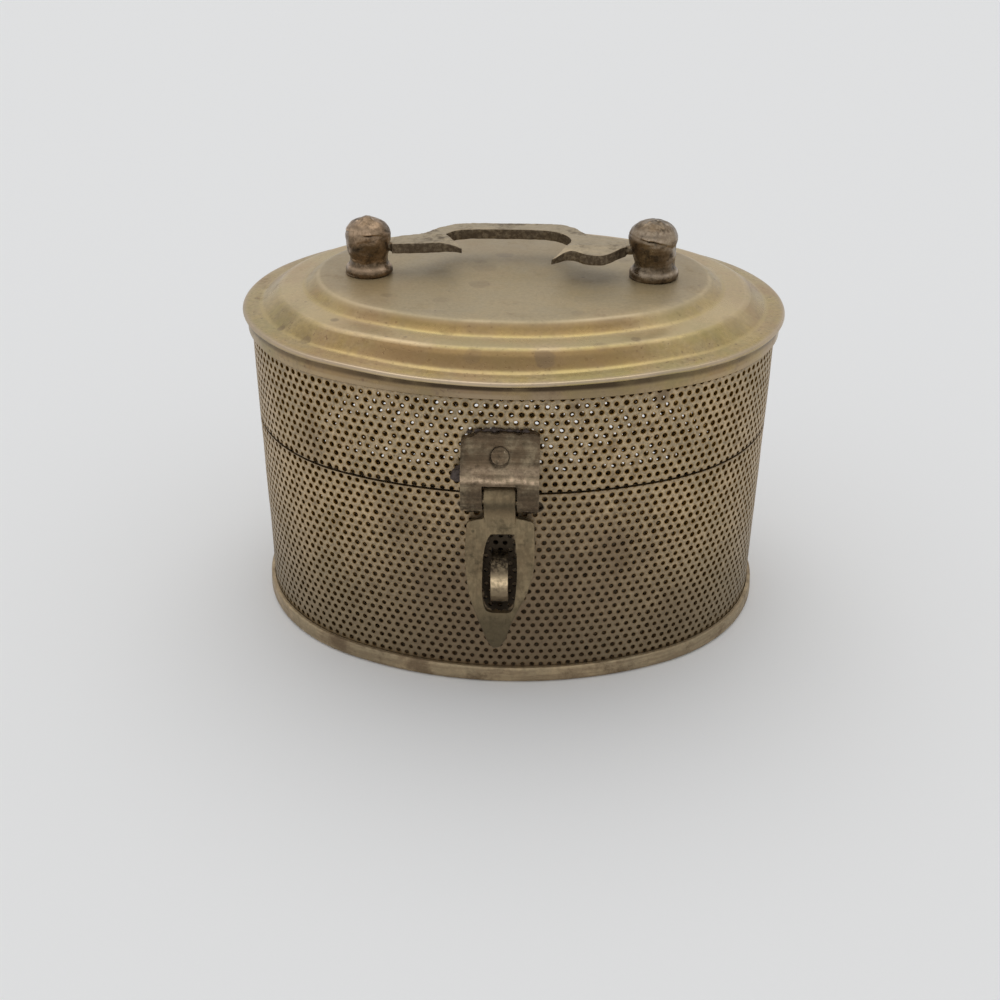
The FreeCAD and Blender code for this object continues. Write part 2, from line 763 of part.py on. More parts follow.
def main():
    os.makedirs("parts", exist_ok=True)
    half = hinge_width / 2
    middle = hinge_middle / 2
    outer_spans = [(-half, -middle - hinge_slack), (middle + hinge_slack, half)]
    left_x, right_x = post_places()
    export(base_pan(), "base_pan")
    export(body_wall(), "body_wall")
    export(seat_collar(), "seat_collar")
    export(staple(), "staple")
    export(hinge_leaf(-1, outer_spans), "hinge_leaf_body")
    export(hinge_rivets(-1), "body_hinge_rivets")
    export(hinge_pin(), "hinge_pin")
    export(lid_wall(), "lid_wall")
    export(lid_top(), "lid_top")
    export(knob_post(left_x, 1), "post_left")
    export(knob_post(right_x, -1), "post_right")
    export(post_washers(), "post_washers")
    export(hinge_leaf(1, [(-middle, middle)]), "hinge_leaf_lid")
    export(hinge_rivets(1), "lid_hinge_rivets")
    export(hasp_plate(), "hasp_plate")
    export(hasp_solder(), "hasp_solder")
    export(hasp_rivet(), "hasp_rivet")
    export(hasp_pin(), "hasp_pin")
    export(hasp_tongue(), "hasp_tongue")
    export(handle(), "handle")


main()
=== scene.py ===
import json
import math

import bmesh
import bpy
from mathutils import Matrix, Vector, noise


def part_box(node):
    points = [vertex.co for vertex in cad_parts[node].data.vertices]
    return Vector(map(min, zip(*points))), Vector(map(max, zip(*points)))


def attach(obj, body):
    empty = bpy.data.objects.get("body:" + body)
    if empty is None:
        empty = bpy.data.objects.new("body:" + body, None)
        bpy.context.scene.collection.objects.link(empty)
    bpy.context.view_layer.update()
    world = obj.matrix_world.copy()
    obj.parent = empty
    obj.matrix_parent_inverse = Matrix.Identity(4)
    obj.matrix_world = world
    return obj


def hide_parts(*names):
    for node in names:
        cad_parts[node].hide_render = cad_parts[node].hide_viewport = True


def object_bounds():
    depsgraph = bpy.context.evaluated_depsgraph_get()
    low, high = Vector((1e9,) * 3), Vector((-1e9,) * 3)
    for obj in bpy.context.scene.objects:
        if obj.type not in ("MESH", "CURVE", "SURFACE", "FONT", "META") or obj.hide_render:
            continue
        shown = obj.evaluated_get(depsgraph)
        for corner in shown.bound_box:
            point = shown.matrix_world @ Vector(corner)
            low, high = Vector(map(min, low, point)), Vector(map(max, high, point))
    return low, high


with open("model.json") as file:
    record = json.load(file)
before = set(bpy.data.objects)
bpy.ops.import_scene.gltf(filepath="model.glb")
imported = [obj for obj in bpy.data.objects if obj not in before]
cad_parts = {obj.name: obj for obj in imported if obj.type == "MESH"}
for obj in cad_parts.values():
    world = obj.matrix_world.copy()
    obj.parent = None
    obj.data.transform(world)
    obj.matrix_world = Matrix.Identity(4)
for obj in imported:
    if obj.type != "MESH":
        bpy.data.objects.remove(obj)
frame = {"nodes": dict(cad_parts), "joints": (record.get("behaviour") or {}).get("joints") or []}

bl_info = {
    "name": "Pierced Brass Paan Box",
    "version": (1, 0, 0),
    "blender": (4, 5, 0),
    "location": "View3D > Sidebar > Paan Box",
    "description": "Dresses the packed oval box with pierced walls, a stamped cover and "
                   "forged fittings",
    "category": "Object",
}

# One millimetre and one degree, in the scene's own units
MM = 0.001
DEG = math.pi / 180.0

CAD_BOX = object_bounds()
WALL_LOW, WALL_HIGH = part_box("body_wall")
SKIRT_LOW, SKIRT_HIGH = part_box("lid_wall")
COLLAR_LOW, COLLAR_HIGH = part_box("seat_collar")
STAPLE_LOW, STAPLE_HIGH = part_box("staple")
PLATE_LOW, PLATE_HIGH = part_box("hasp_plate")
FOOT_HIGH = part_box("base_pan")[1]
FLAT_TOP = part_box("lid_top")[1].z
SEAM = WALL_HIGH.z

JOINTS = {joint["name"]: joint for joint in frame["joints"]}
HANDLE_PIVOT = Vector(JOINTS["handle_swing"]["pos_m"])
HASP_PIVOT = Vector(JOINTS["hasp_swing"]["pos_m"])
SHUT_ANGLE = JOINTS["hasp_swing"]["range_deg"][0] * DEG


# ---------------------------------------------------------------- sizes and colours

def length(name, description, millimetres):
    return bpy.props.FloatProperty(
        name=name, description=description, default=millimetres * MM, unit="LENGTH")


def tone(name, description, colour):
    return bpy.props.FloatVectorProperty(
        name=name, description=description, default=colour, subtype="COLOR", size=3,
        min=0.0, max=1.0)


class PaanBoxSizes(bpy.types.PropertyGroup):
    end_radius: length("End radius", "Radius of the oval's round ends", 28.0)
    wall: length("Pierced sheet", "Thickness of the pierced sheet", 0.40)
    holes_round: bpy.props.IntProperty(
        name="Holes round", description="Holes in one row round the box", default=168)
    row_height: length("Row height", "Height from one row of holes to the next", 1.11)
    first_row: length("First row", "Height of the lowest row of holes", 3.05)
    hole_radius: length("Hole radius", "Radius of a pierced hole", 0.36)
    hole_unevenness: length("Unevenness", "How far a hole strays from its place", 0.05)
    row_drift: length("Row drift", "How far the rows wander up and down round the box", 0.30)
    dent_depth: length("Dent depth", "Depth of the shallow dents in the sheet", 0.16)


class PaanBoxColours(bpy.types.PropertyGroup):
    brass: tone("Brass", "Rubbed brass of the pierced wall", (0.46, 0.35, 0.215))
    gold: tone("Gold", "Bright brass on the rings of the cover", (0.43, 0.31, 0.12))
    olive: tone("Olive", "Tarnish on the flat of the cover", (0.375, 0.298, 0.19))
    # Umber is also laid as painted shade under the cover's band and low on the front wall; soot as
    # painted shade behind the hasp, and as the dark of most fittings' dirt-and-shade masks
    umber: tone("Umber", "Brown patina of the fittings", (0.18, 0.125, 0.075))
    soot: tone("Soot", "Dark dirt in corners and pits", (0.035, 0.025, 0.015))
    hole_brown: tone("Hole brown", "Brown of the walls of the pierced holes", (0.27, 0.14, 0.014))
    copper: tone("Copper", "Reddish metal of the knobs", (0.36, 0.245, 0.155))


def sizes():
    return bpy.context.scene.paan_box_sizes


def colours():
    return bpy.context.scene.paan_box_colours


# ---------------------------------------------------------------- mesh helpers

def clamp(value):
    return max(0.0, min(1.0, value))


def near(value, centre, width):
    """One at the centre, falling softly to zero with distance."""
    return math.exp(-((value - centre) / width) ** 2)


def in_metres(points):
    """Points given in millimetres, in metres."""
    return [tuple(value * MM for value in point) for point in points]


def oval_stations(end_steps=48, side_steps=40):
    """Places round the oval as (x, y, outward x, outward y), counter-clockwise from the back."""
    half_length, half_width = WALL_HIGH.x, WALL_HIGH.y
    end = sizes().end_radius
    side = (half_width ** 2 + half_length ** 2 - 2 * half_length * end) / (2 * (half_width - end))
    end_x, side_y = half_length - end, side - half_width
    turn = math.atan2(side_y, end_x)
    half = math.pi
    arcs = (
        (0.0, -side_y, side, half / 2, half - turn, side_steps // 2),
        (-end_x, 0.0, end, half - turn, half + turn, end_steps),
        (0.0, side_y, side, half + turn, 2 * half - turn, side_steps),
        (end_x, 0.0, end, 2 * half - turn, 2 * half + turn, end_steps),
        (0.0, -side_y, side, 2 * half + turn, 2.5 * half, side_steps // 2),
    )
    stations = []
    for x, y, radius, start, stop, steps in arcs:
        for step in range(steps):
            angle = start + (stop - start) * step / steps
            out = (math.cos(angle), math.sin(angle))
            stations.append((x + radius * out[0], y + radius * out[1], out[0], out[1]))
    return stations


def smooth_path(points, steps):
    """A Catmull-Rom line through the points, which keeps its first and last one."""
    points = [Vector(point) for point in points]
    line = []
    for index in range(len(points) - 1):
        p0 = points[max(index - 1, 0)]
        p1, p2 = points[index], points[index + 1]
        p3 = points[min(index + 2, len(points) - 1)]
        for step in range(steps):
            t = step / steps
            line.append(0.5 * (2 * p1 + (p2 - p0) * t + (2 * p0 - 5 * p1 + 4 * p2 - p3) * t ** 2
                               + (3 * p1 - p0 - 3 * p2 + p3) * t ** 3))
    line.append(points[-1])
    return line


def arc_points(centre, radius, start, stop, steps):
    """Points on an arc, from start to stop in degrees."""
    angles = [(start + (stop - start) * step / steps) * DEG for step in range(steps + 1)]
    return [(centre[0] + radius * math.cos(angle), centre[1] + radius * math.sin(angle))
            for angle in angles]


def marks_of(profile, index):
    """A profile's masks at a point: ridge, hollow and how steep it is, and then its height."""
    last = len(profile) - 1
    before, here, after = [Vector(profile[max(0, min(last, index + step))]) for step in (-1, 0, 1)]
    first, second, both = here - before, after - here, after - before
    bend = 0.0
    if min(first.length, second.length) > 1e-9:
        turn = math.atan2(first.cross(second), first.dot(second))
        bend = 0.9 * turn / ((first.length + second.length) / 2 / MM)
    return clamp(bend), clamp(-bend), abs(both.y) / max(both.length, 1e-9), here.y


def join_rings(bm, low, high):
    """Faces between two rings of points, either of which may be a single point."""
    count = max(len(low), len(high))
    for k in range(count):
        k2 = (k + 1) % count
        corners = (low[k % len(low)], low[k2 % len(low)], high[k2 % len(high)], high[k % len(high)])
        bm.faces.new(list(dict.fromkeys(corners)))


def sweep(profile, closed=True, wobble=None):
    """Carries (offset, height) points round the oval: a closed ring, or an open line with caps."""
    bm = bmesh.new()
    layers = [bm.verts.layers.float.new(name) for name in ("ridge", "hollow", "steep", "level")]
    rings = []
    for index, (offset, height) in enumerate(profile):
        marks = marks_of(profile, index)
        ring = []
        for x, y, out_x, out_y in oval_stations():
            place = Vector((x + out_x * offset, y + out_y * offset, height))
            if wobble:
                place += wobble(place, Vector((out_x, out_y, 0.0)), offset)
            vert = bm.verts.new(place)
            for layer, mark in zip(layers, marks):
                vert[layer] = mark
            ring.append(vert)
        rings.append(ring)
    for low, high in zip(rings, rings[1:] + rings[:1] if closed else rings[1:]):
        join_rings(bm, low, high)
    if not closed:
        bm.faces.new(list(reversed(rings[0])))
        bm.faces.new(rings[-1])
    return bm


def lathe(profile, centre, steps=48, shape=None):
    """Turns (radius, height) points about the upright line through centre; both ends are on it."""
    bm = bmesh.new()
    rings = []
    for radius, height in profile:
        ring = []
        for k in range(steps if radius > 1e-7 else 1):
            angle = 2 * math.pi * k / steps
            place = Vector((radius * math.cos(angle), radius * math.sin(angle), height))
            if shape and radius > 1e-7:
                place = shape(place, angle)
            ring.append(bm.verts.new(centre + place))
        rings.append(ring)
    for low, high in zip(rings, rings[1:]):
        join_rings(bm, low, high)
    return bm


def add_prism(bm, first, second):
    """A solid between two like outlines of places."""
    low, high = [[bm.verts.new(place) for place in outline] for outline in (first, second)]
    bm.faces.new(list(reversed(low)))
    bm.faces.new(high)
    join_rings(bm, low, high)
    return low + high


def add_plate(bm, outline, low, high):
    """A flat plate from an (x, y) outline, standing from low to high along Z."""
    return add_prism(bm, [(x, y, low) for x, y in outline], [(x, y, high) for x, y in outline])


def add_rod(bm, centre, low, high, radius, steps=24):
    """A round rod across the box, from low to high along X from a place."""
    axis_line = Vector((high - low, 0.0, 0.0))
    turn = Vector((0.0, 0.0, 1.0)).rotation_difference(axis_line).to_matrix().to_4x4()
    middle = Matrix.Translation(centre + Vector(((low + high) / 2, 0.0, 0.0)))
    bmesh.ops.create_cone(bm, cap_ends=True, segments=steps, radius1=radius, radius2=radius,
                          depth=axis_line.length, matrix=middle @ turn)


def shade(bm, angle):
    """Smooth faces, with sharp edges where they turn by more than an angle in degrees."""
    for face in bm.faces:
        face.smooth = True
    for edge in bm.edges:
        edge.smooth = len(edge.link_faces) == 2 and edge.calc_face_angle(0.0) < angle * DEG


def mark_sharp(piece, angle):
    """Shades a piece that is already a mesh."""
    bm = bmesh.new()
    bm.from_mesh(piece.data)
    shade(bm, angle)
    bm.to_mesh(piece.data)
    bm.free()


def link(name, data):
    """A new object in the scene."""
    made = bpy.data.objects.new(name, data)
    bpy.context.scene.collection.objects.link(made)
    return made


def new_piece(name, bm):
    """Turns a bmesh into a named object, faces outward, smooth except at its sharp edges."""
    bmesh.ops.recalc_face_normals(bm, faces=bm.faces)
    bmesh.ops.remove_doubles(bm, verts=bm.verts, dist=1e-7)
    shade(bm, 35.0)
    mesh = bpy.data.meshes.new(name)
    bm.to_mesh(mesh)
    bm.free()
    return link(name, mesh)


def cad_mesh(node):
    """A CAD node's mesh with its loose triangles joined."""
    bm = bmesh.new()
    bm.from_mesh(frame["nodes"][node].data)
    bmesh.ops.remove_doubles(bm, verts=bm.verts, dist=1e-6)
    return bm


def bake(piece):
    """Turns what a piece's modifiers make of it into its plain mesh."""
    evaluated = piece.evaluated_get(bpy.context.evaluated_depsgraph_get())
    mesh = bpy.data.meshes.new_from_object(evaluated)
    piece.modifiers.clear()
    old = piece.data
    piece.data = mesh
    mesh.name = piece.name
    bpy.data.meshes.remove(old)
    return piece


def modify(piece, kind, **settings):
    modifier = piece.modifiers.new(kind.lower(), kind)
    for key, value in settings.items():
        setattr(modifier, key, value)


def cut_away(piece, cutter):
    """Cuts one solid out of another and removes the cutter."""
    modify(piece, "BOOLEAN", object=cutter, operation="DIFFERENCE", solver="EXACT")
    bake(piece)
    bpy.data.objects.remove(cutter)


def forged(piece, voxel, soften=2, hammer=0.0, hammer_size=1.0, lumps=0.0):
    """Remeshes a solid finely, rounds its edges and dents its faces; lengths in millimetres."""
    modify(piece, "REMESH", mode="VOXEL", voxel_size=voxel * MM, use_smooth_shade=True)
    modify(piece, "SMOOTH", factor=0.5, iterations=soften)
    mesh = bake(piece).data
    for vert, normal in zip(mesh.vertices, [Vector(n.vector) for n in mesh.vertex_normals]):
        place = vert.co / MM
        dent = noise.noise(place / hammer_size) * hammer
        dent += noise.noise(place / (hammer_size * 3.1) + Vector((7.0, 3.0, 1.0))) * lumps
        vert.co += normal * (dent - 0.5 * (hammer + lumps)) * MM
    return piece


def forged_copy(node, name, voxel, **work):
    """A CAD node's shape as a forged piece."""
    return forged(new_piece(name, cad_mesh(node)), voxel, **work)


def paint(piece, **rules):
    """Stores a mask per point for each rule of place in millimetres and outward direction."""
    mesh = piece.data
    normals = [Vector(normal.vector) for normal in mesh.vertex_normals]
    for name, rule in rules.items():
        layer = mesh.attributes.new(name, "FLOAT", "POINT")
        for index, vert in enumerate(mesh.vertices):
            layer.data[index].value = clamp(rule(vert.co / MM, normals[index]))


def finish_piece(piece, body, node, material):
    """Gives a piece its material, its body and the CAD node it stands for."""
    piece.data.materials.clear()
    piece.data.materials.append(material)
    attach(piece, body)
    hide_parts(node)


# ---------------------------------------------------------------- node helpers

class Wire:
    """One output of a node; sums and products with it add Math nodes to its tree."""

    def __init__(self, socket):
        self.socket, self.tree = socket, socket.id_data

    def beside(self, name):
        """Another output of the same node."""
        return Wire(self.socket.node.outputs[name])

    def __add__(self, other):
        return calc("ADD", self, other)

    def __radd__(self, other):
        return calc("ADD", other, self)

    def __sub__(self, other):
        return calc("SUBTRACT", self, other)

    def __rsub__(self, other):
        return calc("SUBTRACT", other, self)

    def __mul__(self, other):
        return calc("MULTIPLY", self, other)

    def __truediv__(self, other):
        return calc("DIVIDE", self, other)

    def __rtruediv__(self, other):
        return calc("DIVIDE", other, self)


def feed(node, inputs):
    """Sets a node's inputs to values, or joins them to wires; a colour needs no alpha."""
    for key, value in inputs.items():
        socket = node.inputs[key]
        for wire in value if isinstance(value, list) else [value]:
            if isinstance(wire, Wire):
                wire.tree.links.new(wire.socket, socket)
            else:
                socket.default_value = (*wire, 1.0) if socket.type == "RGBA" else wire


def put(tree, kind, inputs=None, out=0, **settings):
    """Adds a node with its settings and inputs, and returns one of its outputs."""
    node = tree.nodes.new(kind)
    for name, value in settings.items():
        setattr(node, name, value)
    feed(node, inputs or {})
    return Wire(node.outputs[out])


def calc(operation, *values, kind="ShaderNodeMath", out=0, **settings):
    """A Math node's result, in the tree of the wires it works on."""
    tree = [value for value in values if isinstance(value, Wire)][0].tree
    return put(tree, kind, dict(enumerate(values)), out, operation=operation, **settings)


def vector_calc(operation, *values, out=0):
    return calc(operation, *values, kind="ShaderNodeVectorMath", out=out)


def scaled(vector, scale):
    return put(vector.tree, "ShaderNodeVectorMath", {0: vector, "Scale": scale}, operation="SCALE")


def axis(vector, name):
    return put(vector.tree, "ShaderNodeSeparateXYZ", {0: vector}, name)


def combine(tree, x, y, z):
    return put(tree, "ShaderNodeCombineXYZ", {0: x, 1: y, 2: z})


def ease(value, low, high, out_low=0.0, out_high=1.0):
    """Value between low and high, eased to between out_low and out_high."""
    return put(value.tree, "ShaderNodeMapRange", {
        0: value, 1: low, 2: high, 3: out_low, 4: out_high}, interpolation_type="SMOOTHSTEP")


def cloud(place, scale, detail, roughness=0.5, distortion=0.0):
    """A noise texture's value."""
    return put(place.tree, "ShaderNodeTexNoise", {
        "Vector": place, "Scale": scale, "Detail": detail, "Roughness": roughness,
        "Distortion": distortion})


def lay(colour, *layers):
    """Lays colours over a colour, each by its share."""
    for share, top in layers:
        colour = put(share.tree, "ShaderNodeMix", {0: share, 6: colour, 7: top}, 2,
                     data_type="RGBA")
    return colour


def new_group(name, kind, inputs, outputs):
    """A node group; inputs are default values by name, outputs are kinds of socket by name."""
    tree = bpy.data.node_groups.new(name, kind)
    kinds = {"float": "Float", "int": "Int", "tuple": "Vector", "list": "Color"}
    for label, value in inputs.items():
        typed = type(value).__name__
        tree.interface.new_socket(
            name=label, in_out="INPUT",
            socket_type=f"NodeSocket{kinds.get(typed, typed)}").default_value = value
    for label, socket_kind in outputs.items():
        tree.interface.new_socket(
            name=label, in_out="OUTPUT", socket_type=f"NodeSocket{socket_kind}")
    given = {socket.name: Wire(socket) for socket in tree.nodes.new("NodeGroupInput").outputs
             if socket.name}
    return tree, given, tree.nodes.new("NodeGroupOutput")


def use(tree, build, **inputs):
    """The outputs of a shader group by name; each group is built at its first use."""
    if build.__name__ not in bpy.data.node_groups:
        build()
    node = tree.nodes.new("ShaderNodeGroup")
    node.node_tree = bpy.data.node_groups[build.__name__]
    feed(node, {key.replace("_", " ").title(): value for key, value in inputs.items()})
    return {socket.name: Wire(socket) for socket in node.outputs}


def place_in(tree):
    return put(tree, "ShaderNodeTexCoord", out="Object")


def attribute(tree, name):
    return put(tree, "ShaderNodeAttribute", out="Fac", attribute_name=name)


def height_above(tree, low, high):
    """Zero below low and one above high, by the height on the object in millimetres."""
    return ease(axis(place_in(tree), "Z"), low * MM, high * MM)


def level_above(tree, low, high, out_low=0.0, out_high=1.0):
    """The same by the height the stamping had before it was knocked."""
    return ease(attribute(tree, "level"), low * MM, high * MM, out_low, out_high)


def off_middle(tree, low, high, out_low=0.0, out_high=1.0):
    """The same by how far it is from the middle of the box's length."""
    across = calc("ABSOLUTE", axis(place_in(tree), "X"))
    return ease(across, low * MM, high * MM, out_low, out_high)


def mark_at(tree, centre, radius, softness, squash=(1.0, 1.0, 1.0)):
    """A soft mark about a place; lengths in millimetres."""
    return use(tree, spot, centre=tuple(value * MM for value in centre), radius=radius * MM,
               softness=softness, squash=squash)


# ---------------------------------------------------------------- shader groups

def tarnish():
    """Clean metal that dulls and darkens in soft patches, with small dark pits."""
    tree, given, out = new_group("tarnish", "ShaderNodeTree", {
        "Clean": [0.4, 0.3, 0.2, 1.0], "Dull": [0.3, 0.25, 0.17, 1.0],
        "Dark": [0.05, 0.03, 0.02, 1.0], "Patch Size": 9.0 * MM, "Dull Share": 0.5,
        "Dark Share": 0.2, "Pit Size": 0.5 * MM, "Pit Share": 0.1, "Grain": 0.10, "Specks": 0.06,
        "Shift": (0.0, 0.0, 0.0),
    }, {"Colour": "Color", "Roughness": "Float", "Height": "Float"})
    place = vector_calc("ADD", place_in(tree), given["Shift"])
    scale = 1.0 / given["Patch Size"]
    patches = cloud(place, scale, 6.0, 0.62, 0.4)
    fine = cloud(place, scale * 9.0, 5.0, 0.7)
    dull_edge = 0.78 - given["Dull Share"] * 0.5
    dull = ease(patches * 0.75 + fine * 0.25, dull_edge - 0.12, dull_edge + 0.12)
    dark_edge = 0.72 - given["Dark Share"] * 0.4
    elsewhere = vector_calc("ADD", place, (0.031, 0.017, 0.053))
    dark = ease(cloud(elsewhere, scale * 1.7, 7.0, 0.68), dark_edge - 0.09, dark_edge + 0.09)
    pit_edge = 0.80 - given["Pit Share"] * 0.5
    pits = ease(cloud(place, 1.0 / given["Pit Size"], 2.0), pit_edge, pit_edge + 0.07)
    pits = pits * ease(patches, 0.42, 0.6)

    # Specks: few of the cells of a Voronoi texture have one, of its own size
    cell = put(tree, "ShaderNodeTexVoronoi", {"Vector": place, "Scale": 1.0 / (1.25 * MM)}, "Color")
    chance = put(tree, "ShaderNodeSeparateColor", {0: cell})
    apart = cell.beside("Distance") / (chance.beside(1) + 0.4)
    speck = ease(apart, 0.10, 0.19, 1.0, 0.0)
    speck = speck * calc("LESS_THAN", chance, given["Specks"] * ease(patches, 0.36, 0.6, 0.3, 1.7))
    colour = lay(given["Clean"], (dull, given["Dull"]), (dark * 0.75, given["Dark"]),
                 (pits * 0.8, given["Dark"]), (speck * 0.8, given["Dark"]))
    grit = ease(cloud(place, 1.0 / (0.55 * MM), 4.0, 0.7), 0.3, 0.7, -1.0, 1.0)
    feed(out, {"Colour": scaled(colour, grit * given["Grain"] + 1.0),
               "Roughness": dull * 0.12 + dark * 0.18, "Height": fine * 0.35 - pits})


def file_marks():
    """Fine lines left by a file or by polishing, along one direction."""
    tree, given, out = new_group("file_marks", "ShaderNodeTree", {
        "Stretch": (0.05, 1.0, 1.0), "Line Size": 0.12 * MM}, {"Lines": "Float", "Bands": "Float"})
    place = vector_calc("MULTIPLY", place_in(tree), given["Stretch"])
    scale = 1.0 / given["Line Size"]
    feed(out, {"Lines": ease(cloud(place, scale, 4.0, 0.6), 0.35, 0.65),
               "Bands": ease(cloud(place, scale * 0.22, 3.0), 0.4, 0.62)})


def edge_wear():
    """Edges rubbed bright and corners full of dirt, from how the surface bends."""
    tree, given, out = new_group("edge_wear", "ShaderNodeTree", {
        "Edge": 0.53, "Corner": 0.47, "Break Up": 0.02}, {"Rubbed": "Float", "Dirty": "Float"})
    grit = cloud(place_in(tree), 1.0 / (0.8 * MM), 4.0)
    bend = put(tree, "ShaderNodeNewGeometry", out="Pointiness") + (grit - 0.5) * given["Break Up"]
    edge, corner = given["Edge"], given["Corner"]
    feed(out, {"Rubbed": ease(bend, edge, edge + 0.05),
               "Dirty": ease(bend, corner - 0.04, corner, 1.0, 0.0)})


def spot():
    """A soft round mark about a place, with a broken edge."""
    tree, given, out = new_group("spot", "ShaderNodeTree", {
        "Centre": (0.0, 0.0, 0.0), "Radius": 2.0 * MM, "Softness": 0.4, "Squash": (1.0, 1.0, 1.0),
    }, {"Mask": "Float", "Ring": "Float"})
    place = place_in(tree)
    arm = vector_calc("MULTIPLY", vector_calc("SUBTRACT", place, given["Centre"]), given["Squash"])
    stray = cloud(place, 1.0 / (1.3 * MM), 4.0) - 0.5
    share = vector_calc("LENGTH", arm, out="Value") / given["Radius"] + stray * 0.7
    feed(out, {"Mask": ease(share, 1.0 - given["Softness"], 1.0, 1.0, 0.0),
               "Ring": ease(share, 0.6, 0.85) * ease(share, 0.85, 1.1, 1.0, 0.0)})


# ---------------------------------------------------------------- materials

def new_material(name):
    material = bpy.data.materials.new(name)
    material.use_nodes = True
    return material, material.node_tree


def surface(tree, colour, roughness, height, metallic=0.85, strength=0.5):
    """Feeds a metal's Principled shader and its bump."""
    bump = put(tree, "ShaderNodeBump", {
        "Strength": strength, "Distance": 0.05 * MM, "Height": height}, "Normal")
    feed(tree.nodes["Principled BSDF"], {
        "Base Color": colour, "Roughness": roughness, "Metallic": metallic, "Normal": bump})


# Painted shade on the wall behind the hasp's slot and under its two ears: across from its
# middle, height, reach and squash, in millimetres
HASP_SHADES = (
    (0.0, 18.2, 8.4, (2.9, 1.0, 1.0)),
    (-3.9, 28.3, 2.0, (1.0, 1.0, 1.8)),
    (3.9, 28.3, 2.0, (1.0, 1.0, 1.8)),
)

# Grime and painted shade on the walls, the first two broad patches low on the front being
# painted shade: place and radius in millimetres, softness, depth of colour
WALL_GRIME_AND_SHADE = (
    ((0.0, -30.0, 10.0), 30.0, 0.95, 0.64), ((3.0, -30.0, 20.0), 22.0, 0.9, 0.40),
    ((-10.0, -30.0, 14.7), 5.0, 0.8, 0.35), ((14.6, -29.0, 22.3), 4.0, 0.8, 0.45),
    ((20.0, -26.0, 43.0), 1.6, 0.6, 0.75), ((9.0, -30.0, 42.5), 1.5, 0.7, 0.5),
    ((-14.0, -29.0, 24.0), 6.0, 0.9, 0.3), ((24.0, -24.0, 8.0), 9.0, 0.9, 0.35),
    ((17.0, -28.5, 18.0), 12.0, 0.9, 0.35), ((-26.0, -22.0, 33.0), 5.0, 0.8, 0.3),
)

# Painted highlights on the cover's rings: place and radius in millimetres, depth of colour
COVER_PAINTED_HIGHLIGHTS = (
    ((21.0, -18.0, 49.6), 7.0, 0.36), ((29.0, -12.0, 48.4), 8.0, 0.40),
    ((-25.0, -14.5, 49.2), 7.0, 0.30), ((-32.0, -6.0, 47.6), 6.0, 0.25),
)

# Marks on the cover: place and radius in millimetres, depth of colour
COVER_SPOTS = (
    ((-1.5, 7.3, 50.6), 1.3, 0.35), ((-4.2, 1.0, 50.6), 1.9, 0.22),
    ((-4.5, -6.1, 50.6), 1.6, 0.30), ((-4.9, 3.8, 50.6), 1.0, 0.30),
    ((-17.1, -11.3, 50.6), 0.9, 0.30), ((4.8, -27.1, 48.2), 1.5, 0.62),
    ((-4.4, -26.7, 48.0), 1.2, 0.30), ((-30.4, -13.4, 47.2), 2.6, 0.16),
    ((-27.5, -18.5, 47.4), 1.6, 0.2), ((30.0, -14.0, 47.3), 2.2, 0.20),
    ((12.0, -24.5, 49.4), 1.2, 0.30), ((-9.5, -12.8, 50.6), 1.2, 0.20),
    ((9.0, -17.2, 50.6), 1.0, 0.22), ((-33.0, -9.5, 47.1), 0.8, 0.55),
    ((-31.0, -15.6, 46.9), 0.7, 0.6), ((-29.2, -13.0, 47.9), 0.6, 0.6),
    ((-27.0, -19.8, 46.9), 0.9, 0.5), ((-23.5, -17.0, 49.0), 0.6, 0.5),
    ((16.5, -22.0, 49.0), 0.7, 0.45),
)


def pierced_brass():
    """Worn brass of the pierced sheet: pale between the holes, brown in them, grime and painted
    shade low down.
    """
    material, tree = new_material("pierced_brass")
    tones = colours()
    metal = use(tree, tarnish, clean=tones.brass, dull=tones.olive, dark=tones.umber,
                patch_size=11.0 * MM, dull_share=0.55, dark_share=0.16,
                pit_size=0.35 * MM, pit_share=0.16, grain=0.34, specks=0.16)
    rim = attribute(tree, "rim")
    outer = ease(attribute(tree, "outer"), 0.0, 0.2)
    seam = height_above(tree, 29.4, 30.3) * (1.0 - height_above(tree, 30.3, 31.0))
    # Grime, with painted shade in the two broad patches low on the front
    grime_and_shade = [(mark_at(tree, centre, radius, softness)["Mask"] * depth, tones.umber)
             for centre, radius, softness, depth in WALL_GRIME_AND_SHADE]
    # Painted shade behind the hasp
    behind = [mark_at(tree, (HASP_PIVOT.x / MM + across, WALL_LOW.y / MM, height), reach, 0.12,
                      squash) for across, height, reach, squash in HASP_SHADES]
    # Painted shade also darkens the sheet towards its foot and just under the cover's band
    colour = lay(
        metal["Colour"], (ease(rim, 0.50, 1.0, 0.0, 0.72), tones.hole_brown),
        (ease(rim, 0.97, 0.995), tones.hole_brown),
        ((1.0 - height_above(tree, 1.0, 27.0)) * 0.66, (0.185, 0.145, 0.092)), *grime_and_shade,
        (seam * 0.35, tones.umber), (height_above(tree, 43.0, 43.9) * 0.5, tones.umber),
        ((1.0 - outer) * 0.45, (0.25, 0.15, 0.045)),
        *[(mark["Mask"] * outer * 0.97, tones.soot) for mark in behind])
    surface(tree, colour, metal["Roughness"] + 0.40, metal["Height"])
    return material


